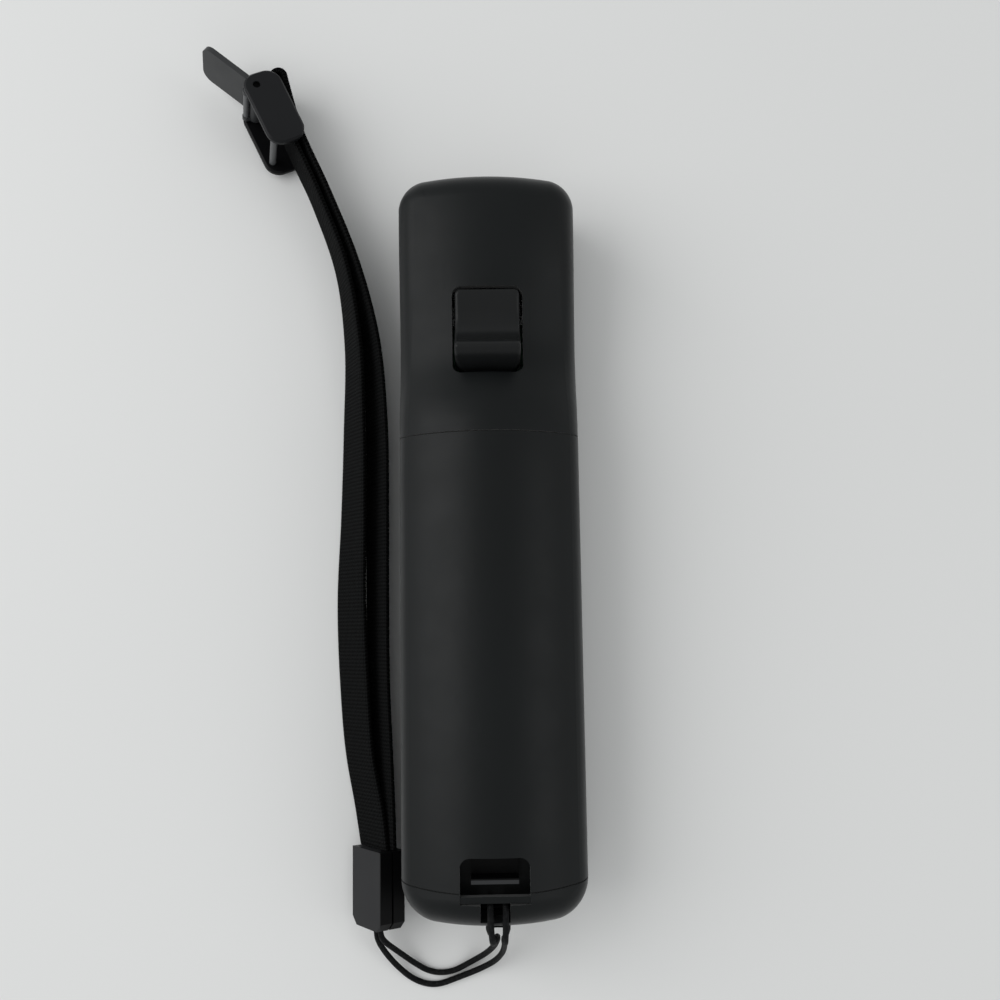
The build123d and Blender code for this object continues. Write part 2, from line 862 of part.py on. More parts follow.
# Chips and the radio's shield on the back of the board
chips = (
    ("processor_chip", 0, processor_place, processor_size, processor_size),
    ("memory_chip", memory_side, memory_place, memory_width, memory_length),
    ("motion_sensor", 0, sensor_place, sensor_size, sensor_size),
)
for name, sideways, place, width, length in chips:
    with BuildPart() as chip:
        with BuildSketch(Plane.XY.offset(board_top_z + chip_gap)):
            with Locations((sideways, from_nose(place))):
                Rectangle(width, length)
        extrude(amount=chip_thick)
    chip.part.label = name
    export_step(chip.part, f"parts/{name}.step")

with BuildPart() as radio_shield:
    with BuildSketch(Plane.XY.offset(board_top_z + chip_gap)):
        with Locations((0, from_nose(shield_place))):
            Rectangle(shield_width, shield_length)
    extrude(amount=shield_thick)
    fillet(radio_shield.edges().filter_by(Axis.Z), shield_round)
radio_shield.part.label = "radio_shield"
export_step(radio_shield.part, "parts/radio_shield.step")

# Speaker behind the grille
with BuildPart() as speaker:
    with BuildSketch(Plane.XY.offset(flange_z)):
        with Locations((0, from_nose(speaker_place))):
            Circle(speaker_radius)
    extrude(amount=speaker_thick)
    with BuildSketch(Plane.XY.offset(flange_z)):
        with Locations((0, from_nose(speaker_place))):
            Circle(cone_radius)
    extrude(amount=cone_dish + speaker_rim, mode=Mode.SUBTRACT)
speaker.part.label = "speaker"
export_step(speaker.part, "parts/speaker.step")

with BuildPart() as speaker_cone:
    with BuildSketch(Plane.XY.offset(flange_z + cone_dish)):
        with Locations((0, from_nose(speaker_place))):
            Circle(cone_radius)
    extrude(amount=speaker_rim)
    with BuildSketch(Plane.XY.offset(flange_z + cone_dish)):
        with Locations((0, from_nose(speaker_place))):
            Circle(cone_radius / 2)
    extrude(amount=-cone_dish, taper=cone_taper)
speaker_cone.part.label = "speaker_cone"
export_step(speaker_cone.part, "parts/speaker_cone.step")

# Four lamp windows in the face and the lamps on the board above them
lamp_spots = [(side, from_nose(lamp_place)) for side in lamp_sides]
with BuildPart() as lamp_windows:
    with BuildSketch(Plane.XY.offset(face_z + lamp_recess)):
        with Locations(*lamp_spots):
            Rectangle(lamp_length, lamp_width)
    extrude(amount=board_z - diode_thick - seat_gap - face_z - lamp_recess)
    with BuildSketch(Plane.XY.offset(flange_z)):
        with Locations(*lamp_spots):
            Rectangle(lamp_length + button_flange, lamp_width + 2 * button_flange)
    extrude(amount=flange_thick)
lamp_windows.part.label = "lamp_windows"
export_step(lamp_windows.part, "parts/lamp_windows.step")

with BuildPart() as lamp_diodes:
    with BuildSketch(Plane.XY.offset(board_z - diode_thick)):
        with Locations(*lamp_spots):
            Rectangle(diode_size, diode_size)
    extrude(amount=diode_thick)
lamp_diodes.part.label = "lamp_diodes"
export_step(lamp_diodes.part, "parts/lamp_diodes.step")

# Infrared window in the nose, and the camera behind it
with BuildPart() as infrared_window:
    with BuildSketch(Plane.XZ.offset(-from_nose(window_recess))):
        with Locations((0, window_z)):
            RectangleRounded(window_width, window_tall, window_corner)
    extrude(amount=window_thick)
infrared_window.part.label = "infrared_window"
export_step(infrared_window.part, "parts/infrared_window.step")

camera_front = camera_place - camera_length / 2
with BuildPart() as infrared_camera:
    with BuildSketch(Plane.XY.offset(board_top_z)):
        with Locations((0, from_nose(camera_place))):
            Rectangle(camera_width, camera_length)
    extrude(amount=camera_tall)
    with BuildSketch(Plane.XZ.offset(-from_nose(camera_front))):
        with Locations((0, board_top_z + camera_tall / 2)):
            Circle(barrel_radius)
    extrude(amount=-barrel_length)
infrared_camera.part.label = "infrared_camera"
export_step(infrared_camera.part, "parts/infrared_camera.step")

with BuildPart() as camera_lens:
    with BuildSketch(Plane.XZ.offset(-from_nose(camera_front - barrel_length))):
        with Locations((0, board_top_z + camera_tall / 2)):
            Circle(lens_radius)
    extrude(amount=-lens_thick)
camera_lens.part.label = "camera_lens"
export_step(camera_lens.part, "parts/camera_lens.step")

# Trigger: a hollow for the finger, then a lip, on a pin near its nose end
trigger_start = trigger_slot_start + trigger_gap
trigger_length = trigger_slot_length - 2 * trigger_gap
trigger_half = trigger_slot_width / 2 - trigger_gap
trigger_base_z = face_z + trigger_base_depth


def trigger_points(shares):
    """Places on the trigger's outline, in the plane along the controller."""
    return [
        (from_nose(trigger_start + along * trigger_length), trigger_base_z + up * trigger_height)
        for along, up in shares
    ]


with BuildPart() as trigger:
    with BuildSketch(Plane.YZ.offset(-trigger_half)):
        with BuildLine():
            face_line = Spline(trigger_points(trigger_top_shares + trigger_back_shares[:1]))
            back_line = Spline(trigger_points(trigger_back_shares))
            Polyline(back_line @ 1, *trigger_points(trigger_under_shares), face_line @ 0)
        make_face()
    extrude(amount=2 * trigger_half)
    with BuildSketch(Plane.XY.offset(trigger_base_z)) as trigger_plan:
        with Locations((0, from_nose(trigger_start + trigger_length / 2))):
            Rectangle(2 * trigger_half, trigger_length)
        fillet(trigger_plan.vertices().group_by(Axis.Y)[0], trigger_tip_round)
        fillet(trigger_plan.vertices().group_by(Axis.Y)[-1], trigger_slot_corner - trigger_gap)
    extrude(amount=trigger_height + overrun, mode=Mode.INTERSECT)
    lip_edge = trigger.edges().filter_by(Axis.X).group_by(Axis.Z)[-1]
    fillet(trigger.edges().filter_by(GeomType.BSPLINE) + lip_edge, trigger_edge_round)
    for side in (-1, 1):
        with BuildSketch(Plane.YZ.offset(side * (trigger_half - trigger_arm))):
            with Locations((from_nose(pivot_place), pivot_z)):
                Circle(pivot_hub)
            with Locations((from_nose((pivot_place + trigger_start + pivot_hub) / 2), pivot_z)):
                Rectangle(trigger_start + pivot_hub - pivot_place, pivot_hub)
        extrude(amount=side * trigger_arm)
    with BuildSketch(Plane.YZ):
        with Locations((from_nose(pivot_place), pivot_z)):
            Circle(pivot_radius + bore_gap)
    extrude(amount=trigger_half, both=True, mode=Mode.SUBTRACT)
trigger.part.label = "trigger"
export_step(trigger.part, "parts/trigger.step")

with BuildPart() as trigger_pin:
    with BuildSketch(Plane.YZ):
        with Locations((from_nose(pivot_place), pivot_z)):
            Circle(pivot_radius)
    extrude(amount=pivot_span / 2, both=True)
trigger_pin.part.label = "trigger_pin"
export_step(trigger_pin.part, "parts/trigger_pin.step")

with BuildPart() as trigger_spring:
    with BuildSketch(Plane.YZ):
        with Locations((from_nose(pivot_place), pivot_z)):
            Circle(spring_radius)
            Circle(pivot_radius, mode=Mode.SUBTRACT)
    extrude(amount=spring_length / 2, both=True)
trigger_spring.part.label = "trigger_spring"
export_step(trigger_spring.part, "parts/trigger_spring.step")

# Trigger switch, on a bridge that stands on the board
foot_z = trigger_base_z + trigger_under_shares[0][1] * trigger_height
trigger_sweep = (switch_place + switch_key_radius - pivot_place) * sin(radians(trigger_travel))
key_top_z = foot_z - trigger_sweep - switch_free
bridge_z = key_top_z - switch_key_thick - switch_thick
with BuildPart() as switch_bridge:
    with BuildSketch(Plane.YZ):
        with Locations((from_nose(switch_place), (board_top_z + bridge_z) / 2)):
            Rectangle(bridge_length, bridge_z - board_top_z)
        with Locations((from_nose(switch_place), (board_top_z + bridge_z - bridge_wall) / 2)):
            Rectangle(
                bridge_length - 2 * bridge_wall,
                bridge_z - board_top_z - bridge_wall,
                mode=Mode.SUBTRACT,
            )
    extrude(amount=bridge_width / 2, both=True)
switch_bridge.part.label = "switch_bridge"
export_step(switch_bridge.part, "parts/switch_bridge.step")

with BuildPart() as trigger_switch:
    with BuildSketch(Plane.XY.offset(bridge_z)):
        with Locations((0, from_nose(switch_place))):
            Rectangle(switch_size, switch_size)
    extrude(amount=switch_thick)
    with BuildSketch(Plane.XY.offset(bridge_z + switch_thick)):
        with Locations((0, from_nose(switch_place))):
            Circle(switch_key_radius)
    extrude(amount=switch_key_thick)
trigger_switch.part.label = "trigger_switch"
export_step(trigger_switch.part, "parts/trigger_switch.step")

# Two cells, side by side and turned end for end, between plates at the ends of the bay
nose_end = bay_start + contact_bow + contact_gap
for name, side, nub_first in (("left_cell", -1, False), ("right_cell", 1, True)):
    body_start = nose_end + (nub_length if nub_first else 0)
    nub_start = nose_end if nub_first else nose_end + cell_length
    with BuildPart() as cell:
        with BuildSketch(Plane.XZ.offset(-from_nose(body_start))):
            with Locations((side * cell_spacing / 2, cell_z)):
                Circle(cell_radius)
        extrude(amount=cell_length)
        chamfer(cell.edges(), cell_bevel)
        with BuildSketch(Plane.XZ.offset(-from_nose(nub_start))):
            with Locations((side * cell_spacing / 2, cell_z)):
                Circle(cell_nub_radius)
        extrude(amount=nub_length)
    cell.part.label = name
    export_step(cell.part, f"parts/{name}.step")

contact_low_z = bay_floor_z + contact_foot
with BuildPart() as nose_contacts:
    for side in (-1, 1):
        with BuildSketch(Plane.XY.offset(contact_low_z)):
            with Locations((side * cell_spacing / 2, from_nose(bay_start + contact_thick / 2))):
                Rectangle(contact_width, contact_thick)
            with Locations((side * cell_spacing / 2, from_nose(bay_start + contact_bow / 2))):
                Rectangle(contact_width / 2, contact_bow)
                Rectangle(
                    contact_width / 2 - 2 * contact_thick,
                    contact_bow - 2 * contact_thick,
                    mode=Mode.SUBTRACT,
                )
        extrude(amount=contact_tall)
nose_contacts.part.label = "nose_contacts"
export_step(nose_contacts.part, "parts/nose_contacts.step")

with BuildPart() as tail_contacts:
    with BuildSketch(Plane.XY.offset(contact_low_z)):
        for side in (-1, 1):
            with Locations((side * cell_spacing / 2, from_nose(bay_end - contact_thick / 2))):
                Rectangle(contact_width, contact_thick)
    extrude(amount=contact_tall)
tail_contacts.part.label = "tail_contacts"
export_step(tail_contacts.part, "parts/tail_contacts.step")

# Pairing button in the deck under the cover, and its switch on the board
pairing_switch_z = board_top_z + pairing_switch_thick
with BuildPart() as pairing_button:
    with BuildSketch(Plane.XY.offset(deck_low_z - seat_gap - pairing_flange_thick)):
        with Locations((0, from_nose(pairing_place))):
            Circle(pairing_head)
    extrude(amount=pairing_flange_thick + seat_gap + deck_wall + pairing_stand)
    with BuildSketch(Plane.XY.offset(deck_low_z - seat_gap)):
        with Locations((0, from_nose(pairing_place))):
            Circle(pairing_flange)
    extrude(amount=-pairing_flange_thick)
    with BuildSketch(Plane.XY.offset(deck_low_z - seat_gap)):
        with Locations((0, from_nose(pairing_place))):
            Circle(pairing_stem)
    extrude(amount=pairing_switch_z + pairing_travel_room - deck_low_z + seat_gap)
pairing_button.part.label = "pairing_button"
export_step(pairing_button.part, "parts/pairing_button.step")

with BuildPart() as pairing_switch_block:
    with BuildSketch(Plane.XY.offset(board_top_z)):
        with Locations((0, from_nose(pairing_place))):
            Rectangle(pairing_switch, pairing_switch)
    extrude(amount=pairing_switch_thick)
pairing_switch_block.part.label = "pairing_switch"
export_step(pairing_switch_block.part, "parts/pairing_switch.step")

# Four screws through the deck into the posts
with BuildPart() as housing_screws:
    with BuildSketch(Plane.XY.offset(deck_z)):
        with Locations(*screw_spots):
            Circle(screw_radius)
    extrude(amount=deck_low_z - deck_z - seat_gap - screw_length + screw_head_thick)
    with BuildSketch(Plane.XY.offset(deck_z)):
        with Locations(*screw_spots):
            Circle(screw_head_radius)
    extrude(amount=screw_head_thick)
    with BuildSketch(Plane.XY.offset(deck_z + screw_head_thick)):
        with Locations(*screw_spots):
            Rectangle(2 * screw_radius, screw_cross)
            Rectangle(screw_cross, 2 * screw_radius)
    extrude(amount=-screw_cross_depth, mode=Mode.SUBTRACT)
housing_screws.part.label = "housing_screws"
export_step(housing_screws.part, "parts/housing_screws.step")

# Rumble motor on its cradle, with an off-centre weight on the shaft
with BuildPart() as motor_cradle:
    with BuildSketch(Plane.YZ.offset(motor_side + (motor_length - cradle_length) / 2)):
        with Locations((from_nose(motor_place), (board_top_z + motor_z) / 2)):
            Rectangle(cradle_width, motor_z - board_top_z)
        with Locations((from_nose(motor_place), motor_z)):
            Circle(motor_radius, mode=Mode.SUBTRACT)
    extrude(amount=cradle_length)
motor_cradle.part.label = "motor_cradle"
export_step(motor_cradle.part, "parts/motor_cradle.step")

with BuildPart() as rumble_motor:
    with BuildSketch(Plane.YZ.offset(motor_side)):
        with Locations((from_nose(motor_place), motor_z)):
            Circle(motor_radius)
    extrude(amount=motor_length)
    with BuildSketch(Plane.YZ.offset(motor_side + motor_length)):
        with Locations((from_nose(motor_place), motor_z)):
            Circle(shaft_radius)
    extrude(amount=shaft_length)
rumble_motor.part.label = "rumble_motor"
export_step(rumble_motor.part, "parts/rumble_motor.step")

with BuildPart() as rumble_weight:
    with BuildSketch(Plane.YZ.offset(motor_side + motor_length + weight_gap)):
        with Locations((from_nose(motor_place), motor_z)):
            Circle(weight_radius)
        with Locations((from_nose(motor_place), motor_z + weight_radius)):
            Rectangle(2 * weight_radius, 2 * weight_radius, mode=Mode.SUBTRACT)
        with Locations((from_nose(motor_place), motor_z)):
            Circle(weight_hub)
            Circle(shaft_radius + bore_gap, mode=Mode.SUBTRACT)
    extrude(amount=weight_thick)
rumble_weight.part.label = "rumble_weight"
export_step(rumble_weight.part, "parts/rumble_weight.step")

# Expansion connector in the tail
with BuildPart() as expansion_port:
    with BuildSketch(Plane.XZ.offset(-from_nose(case_length - port_recess))):
        with Locations((0, port_z)):
            RectangleRounded(port_width, port_tall, port_corner)
    extrude(amount=-port_depth)
    with BuildSketch(Plane.XZ.offset(-from_nose(case_length - port_recess))):
        with Locations((0, port_z)):
            RectangleRounded(
                port_width - 2 * port_wall, port_tall - 2 * port_wall, port_corner - port_wall
            )
    extrude(amount=port_wall - port_depth, mode=Mode.SUBTRACT)
expansion_port.part.label = "expansion_port"
export_step(expansion_port.part, "parts/expansion_port.step")

with BuildPart() as port_contacts:
    with BuildSketch(Plane.XZ.offset(-from_nose(case_length - port_recess - tongue_inset))):
        with Locations((0, port_z)):
            Rectangle(tongue_width, tongue_thick)
    extrude(amount=port_wall - port_depth + tongue_inset)
port_contacts.part.label = "port_contacts"
export_step(port_contacts.part, "parts/port_contacts.step")

# Pin in the tail that the strap's cord goes round
with BuildPart() as strap_pin:
    with BuildSketch(Plane.YZ):
        with Locations((from_nose(strap_pin_place), strap_pin_z)):
            Circle(strap_pin_radius)
    extrude(amount=well_width / 2 + well_wall, both=True)
strap_pin.part.label = "strap_pin"
export_step(strap_pin.part, "parts/strap_pin.step")


def bend_radii(route):
    """The largest bend at each corner that its two runs leave room for."""
    points = [Vector(*point) for point in route]
    radii = []
    for before, corner, after in zip(points, points[1:], points[2:]):
        turn = radians((corner - before).get_angle(after - corner))
        radii.append(bend_share * min((corner - before).length, (after - corner).length) / tan(turn / 2))
    return radii


def cord_part(route):
    """A cord of even thickness along a route."""
    with BuildPart() as cord:
        with BuildLine() as path:
            FilletPolyline(*route, radius=bend_radii(route))
        with BuildSketch(Plane(origin=path.line @ 0, z_dir=path.line % 0)) as section:
            RegularPolygon(cord_diameter / 2, cord_sides)
        sweep()
    sweep_length = path.wires()[0].length
    print("cord length", round(sweep_length, 2), "volume", round(cord.part.volume, 2))
    print("section times length", round(sweep_length * section.sketch.area, 2))
    print("bend radii", [round(radius, 1) for radius in bend_radii(route)])
    return cord.part


# Two cords of the wrist strap, hitched round the pin and led to the clamp
for name, route in (("left_cord", left_cord_route), ("right_cord", right_cord_route)):
    cord_solid = cord_part([(x, from_nose(case_length) + y, z) for x, y, z in route])
    cord_solid.label = name
    export_step(cord_solid, f"parts/{name}.step")

# Clamp that joins the cords to the webbing: two halves leaning against the case
clamp_across = Vector(sin(radians(clamp_lean)), 0, cos(radians(clamp_lean)))
clamp_through = Vector(-cos(radians(clamp_lean)), 0, sin(radians(clamp_lean)))
clamp_corner = Vector(clamp_corner_x, clamp_corner_y, clamp_stand)
for name, start in (("clamp_lower_half", 0), ("clamp_upper_half", clamp_half + clamp_split)):
    clamp_plane = Plane(
        origin=clamp_corner + clamp_through * start, x_dir=clamp_across, z_dir=clamp_through
    )
    with BuildPart() as clamp_piece:
        with BuildSketch(clamp_plane) as clamp_plan:
            with Locations((clamp_width / 2, -clamp_length / 2)):
                Rectangle(clamp_width, clamp_length)
            chamfer(clamp_plan.vertices().group_by(Axis.Y)[0], clamp_bevel)
        extrude(amount=clamp_half)
    clamp_piece.part.label = name
    export_step(clamp_piece.part, f"parts/{name}.step")


def web_layer(edge):
    """One layer of the webbing: 0 for the left one, 2 for the right one."""
    with BuildPart() as layer:
        for along, *edges, lift in web_row_shares:
            low_x = edges[edge] * case_width
            high_x = edges[edge + 1] * case_width
            low_z = web_stand + lift * case_width
            high_z = low_z + sqrt(web_width**2 - (high_x - low_x) ** 2)
            slant = web_thick * web_width / (high_z - low_z)
            with BuildSketch(Plane.XZ.offset(-along * case_length)):
                with BuildLine():
                    Polyline(
                        (low_x, low_z),
                        (low_x + slant, low_z),
                        (high_x + slant, high_z),
                        (high_x, high_z),
                        close=True,
                    )
                make_face()
        loft(ruled=True)
    return layer.part


# Wrist webbing: a flat band in a loop that stands on its edge
along, left_low, left_high, right_low, right_high, lift = web_row_shares[-1]
fold_low = web_stand + lift * case_width
fold_high = fold_low + sqrt(web_width**2 - ((left_high - left_low) * case_width) ** 2)
with BuildPart() as wrist_webbing:
    add(web_layer(0))
    add(web_layer(2))
    with BuildSketch(Plane.XZ.offset(-along * case_length)):
        with BuildLine():
            Polyline(
                (left_low * case_width, fold_low),
                (right_low * case_width + web_thick, fold_low),
                (right_high * case_width + web_thick, fold_high),
                (left_high * case_width, fold_high),
                close=True,
            )
        make_face()
    extrude(amount=-web_fold)
wrist_webbing.part.label = "wrist_webbing"
export_step(wrist_webbing.part, "parts/wrist_webbing.step")

# Strap lock clip: two cheeks, a fixed post, and a lever with a cam pin
clip_u = Vector(cos(radians(clip_heading)), sin(radians(clip_heading)), 0)
clip_side = Vector(sin(radians(clip_heading)), -cos(radians(clip_heading)), 0)
clip_up = clip_side * sin(radians(clip_tilt)) + Vector(0, 0, 1) * cos(radians(clip_tilt))
clip_z = clip_stand + clip_width / 2 * sin(radians(clip_tilt))
clip_plane = Plane(origin=(clip_x, clip_y, clip_z), x_dir=clip_u, z_dir=clip_up)
clip_total = 2 * clip_cheek + clip_opening
pivot_spot = (clip_pivot_shares[0] * clip_length, clip_pivot_shares[1] * clip_width)
post_spot = (clip_post_shares[0] * clip_length, clip_post_shares[1] * clip_width)

for name, base, outer in (("clip_lower_cheek", 0, 0), ("clip_upper_cheek", clip_cheek + clip_opening, -1)):
    with BuildPart() as clip_side_plate:
        with BuildSketch(clip_plane.offset(base)):
            RectangleRounded(clip_length, clip_width, clip_corner)
        extrude(amount=clip_cheek)
        chamfer(clip_side_plate.faces().sort_by(Axis.Z)[outer].edges(), clip_bevel)
        with BuildSketch(clip_plane.offset(base)):
            with Locations(pivot_spot):
                Circle(clip_pin_radius)
        extrude(amount=clip_cheek, mode=Mode.SUBTRACT)
    clip_side_plate.part.label = name
    export_step(clip_side_plate.part, f"parts/{name}.step")

with BuildPart() as clip_post:
    with BuildSketch(clip_plane.offset(clip_cheek)):
        with Locations(post_spot):
            Circle(clip_post_radius)
    extrude(amount=clip_opening)
clip_post.part.label = "clip_post"
export_step(clip_post.part, "parts/clip_post.step")

with BuildPart() as clip_pin:
    with BuildSketch(clip_plane.offset(clip_pin_recess)):
        with Locations(pivot_spot):
            Circle(clip_pin_radius)
    extrude(amount=clip_total - 2 * clip_pin_recess)
clip_pin.part.label = "clip_pin"
export_step(clip_pin.part, "parts/clip_pin.step")

pivot_origin = clip_plane.from_local_coords((pivot_spot[0], pivot_spot[1], 0))
lever_u = clip_plane.x_dir * cos(radians(lever_angle)) + clip_plane.y_dir * sin(radians(lever_angle))
lever_plane = Plane(origin=pivot_origin, x_dir=lever_u, z_dir=clip_up)
lever_tall = clip_opening - 2 * lever_gap
lever_base = clip_cheek + lever_gap
cam_spot = (cam_reach * cos(radians(cam_angle)), cam_reach * sin(radians(cam_angle)))
lever_side_plane = Plane(
    origin=lever_plane.from_local_coords((0, -lever_offset - lever_thick / 2, 0)),
    x_dir=lever_plane.x_dir,
    z_dir=lever_plane.y_dir,
)
with BuildPart() as clip_lever:
    with BuildSketch(lever_side_plane) as lever_outline:
        with Locations((lever_length / 2, -lever_base - lever_tall / 2)):
            Rectangle(lever_length, lever_tall)
        fillet(lever_outline.vertices().group_by(Axis.X)[-1], lever_tip_round)
    extrude(amount=lever_thick)
    with BuildSketch(lever_plane.offset(lever_base)):
        Circle(lever_hub)
    extrude(amount=lever_tall)
    for base in (lever_base, lever_base + lever_tall - lever_link):
        with BuildSketch(lever_plane.offset(base)):
            SlotCenterPoint((cam_spot[0] / 2, cam_spot[1] / 2), cam_spot, 2 * cam_radius + lever_gap)
        extrude(amount=lever_link)
    with BuildSketch(lever_plane):
        Circle(clip_pin_radius + bore_gap)
    extrude(amount=clip_total, mode=Mode.SUBTRACT)
    with BuildSketch(lever_plane):
        with Locations(cam_spot):
            Circle(cam_radius)
    extrude(amount=clip_total, mode=Mode.SUBTRACT)
clip_lever.part.label = "clip_lever"
export_step(clip_lever.part, "parts/clip_lever.step")

with BuildPart() as clip_cam_pin:
    with BuildSketch(lever_plane.offset(lever_base)):
        with Locations(cam_spot):
            Circle(cam_radius)
    extrude(amount=lever_tall)
clip_cam_pin.part.label = "clip_cam_pin"
export_step(clip_cam_pin.part, "parts/clip_cam_pin.step")
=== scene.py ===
import logging
import math
from dataclasses import dataclass, field
from enum import Enum

import bmesh
import bpy
import numpy as np
from mathutils import Matrix, Vector


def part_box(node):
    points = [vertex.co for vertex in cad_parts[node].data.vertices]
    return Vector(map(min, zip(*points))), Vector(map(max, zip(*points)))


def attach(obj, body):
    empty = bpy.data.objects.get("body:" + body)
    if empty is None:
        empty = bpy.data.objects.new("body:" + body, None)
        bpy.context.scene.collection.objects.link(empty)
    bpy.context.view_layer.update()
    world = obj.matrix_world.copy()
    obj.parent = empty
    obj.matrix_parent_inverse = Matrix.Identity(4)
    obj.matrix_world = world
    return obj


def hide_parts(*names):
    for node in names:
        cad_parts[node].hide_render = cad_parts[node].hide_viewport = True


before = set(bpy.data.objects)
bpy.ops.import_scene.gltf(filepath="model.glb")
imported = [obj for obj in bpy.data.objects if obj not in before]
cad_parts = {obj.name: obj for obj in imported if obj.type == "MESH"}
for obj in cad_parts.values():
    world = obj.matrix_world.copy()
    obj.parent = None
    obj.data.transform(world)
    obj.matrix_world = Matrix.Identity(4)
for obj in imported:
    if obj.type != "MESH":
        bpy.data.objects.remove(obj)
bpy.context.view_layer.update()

# Looks of a motion controller wand with its wrist strap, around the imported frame.
# Blender's lengths are in metres. +Z is the controller's back, +Y its nose, X runs across.

MM = 0.001

log = logging.getLogger("wand")

Colour = tuple[float, float, float]
Point = tuple[float, float, float]

# The stretch in which a noise pattern makes most of its change
NOISE_MIDDLE = (0.3, 0.7)
# How wide the line is between a piece's painted light and its painted shade
PAINTED_LIGHT_EDGE = 0.05 * MM


class Relief(Enum):
    """What a surface's fine relief looks like."""

    GRAIN = "grain"
    SPUN = "spun"
    BRUSHED = "brushed"
    CLEAN = "clean"


class Hang(Enum):
    """How the strap's pieces lie."""

    LOOSE = "loose"
    FOLDED = "folded"


class Bench:
    """Puts nodes into one material and joins them."""

    def __init__(self, name: str) -> None:
        """Start an empty material with its output and its main shader."""
        self.material = bpy.data.materials.new(name)
        self.material.use_nodes = True
        self.tree = self.material.node_tree
        self.tree.nodes.clear()
        self.output = self.tree.nodes.new("ShaderNodeOutputMaterial")
        self.shader = self.tree.nodes.new("ShaderNodeBsdfPrincipled")
        self.join(self.shader.outputs["BSDF"], self.output.inputs["Surface"])

    def join(self, source: bpy.types.NodeSocket, target: bpy.types.NodeSocket) -> None:
        """Link one socket to another."""
        self.tree.links.new(source, target)

    def place(self, kind: str = "Object") -> bpy.types.NodeSocket:
        """Coordinates of the surface, by default in metres on the object."""
        return self.tree.nodes.new("ShaderNodeTexCoord").outputs[kind]

    def along(self, source: bpy.types.NodeSocket) -> bpy.types.bpy_prop_collection:
        """The coordinates on X, Y and Z, each as a factor."""
        node = self.tree.nodes.new("ShaderNodeSeparateXYZ")
        self.join(source, node.inputs["Vector"])
        return node.outputs

    def paint(self, colour: bpy.types.NodeSocket, rough: bpy.types.NodeSocket) -> None:
        """Give the shader its colour and its roughness."""
        self.join(colour, self.shader.inputs["Base Color"])
        self.join(rough, self.shader.inputs["Roughness"])

    def stretch(self, source: bpy.types.NodeSocket, scale: Point) -> bpy.types.NodeSocket:
        """Coordinates multiplied by a scale on each axis."""
        node = self.tree.nodes.new("ShaderNodeMapping")
        node.inputs["Scale"].default_value = scale
        self.join(source, node.inputs["Vector"])
        return node.outputs["Vector"]

    def noise(
        self, source: bpy.types.NodeSocket, size: float, detail: float = 3.0
    ) -> bpy.types.NodeSocket:
        """A noise pattern.

        Args:
            source: the coordinates.
            size: how large a feature is, in metres.
            detail: how many finer layers it has.

        Returns:
            The pattern's factor.
        """
        node = self.tree.nodes.new("ShaderNodeTexNoise")
        node.inputs["Scale"].default_value = 1.0 / size
        node.inputs["Detail"].default_value = detail
        self.join(source, node.inputs["Vector"])
        return node.outputs["Fac"]

    def cells(self, source: bpy.types.NodeSocket, size: float, feature: str = "F1") -> bpy.types.Node:
        """A pattern of cells of one size, in metres."""
        node = self.tree.nodes.new("ShaderNodeTexVoronoi")
        node.feature = feature
        node.inputs["Scale"].default_value = 1.0 / size
        self.join(source, node.inputs["Vector"])
        return node

    def spread(
        self, source: bpy.types.NodeSocket, low: float, high: float, start: float = 0.0, end: float = 1.0
    ) -> bpy.types.NodeSocket:
        """Map a factor from start to end onto low to high.

        Args:
            source: the factor.
            low: the result at start.
            high: the result at end.
            start: where the mapped stretch begins.
            end: where it ends.

        Returns:
            The mapped factor.
        """
        node = self.tree.nodes.new("ShaderNodeMapRange")
        for name, value in (("From Min", start), ("From Max", end), ("To Min", low), ("To Max", high)):
            node.inputs[name].default_value = value
        self.join(source, node.inputs["Value"])
        return node.outputs["Result"]

    def sum_up(
        self, kind: str, first: bpy.types.NodeSocket, second: bpy.types.NodeSocket | float = 0.0
    ) -> bpy.types.NodeSocket:
        """One step of arithmetic on one or two factors."""
        node = self.tree.nodes.new("ShaderNodeMath")
        node.operation = kind
        self.join(first, node.inputs[0])
        if isinstance(second, float):
            node.inputs[1].default_value = second
        else:
            self.join(second, node.inputs[1])
        return node.outputs["Value"]

    def blend(self, factor: bpy.types.NodeSocket, low: Colour, high: Colour) -> bpy.types.NodeSocket:
        """A colour between two, by a factor."""
        node = self.tree.nodes.new("ShaderNodeMix")
        node.data_type = "RGBA"
        self.join(factor, node.inputs["Factor"])
        node.inputs["A"].default_value = (*low, 1.0)
        node.inputs["B"].default_value = (*high, 1.0)
        return node.outputs["Result"]

    def overlay(
        self, factor: bpy.types.NodeSocket, base: bpy.types.NodeSocket, top: Colour
    ) -> bpy.types.NodeSocket:
        """A colour laid over another, by a factor."""
        node = self.tree.nodes.new("ShaderNodeMix")
        node.data_type = "RGBA"
        self.join(factor, node.inputs["Factor"])
        self.join(base, node.inputs["A"])
        node.inputs["B"].default_value = (*top, 1.0)
        return node.outputs["Result"]

    def emboss(self, height: bpy.types.NodeSocket, strength: float, depth: float) -> None:
        """Turn a height into relief.

        Args:
            height: the height's factor.
            strength: how much of the relief shows, from 0 to 1.
            depth: the height's distance in metres.
        """
        node = self.tree.nodes.new("ShaderNodeBump")
        node.inputs["Strength"].default_value = strength
        node.inputs["Distance"].default_value = depth
        self.join(height, node.inputs["Height"])
        self.join(node.outputs["Normal"], self.shader.inputs["Normal"])

    def set(self, **values: float) -> None:
        """Set the shader's own sockets, with spaces written as underscores."""
        for name, value in values.items():
            self.shader.inputs[name.replace("_", " ")].default_value = value


def paler(colour: Colour, share: float) -> Colour:
    """A colour made lighter by a share, at most to white."""
    return tuple(min(value * share, 1.0) for value in colour)


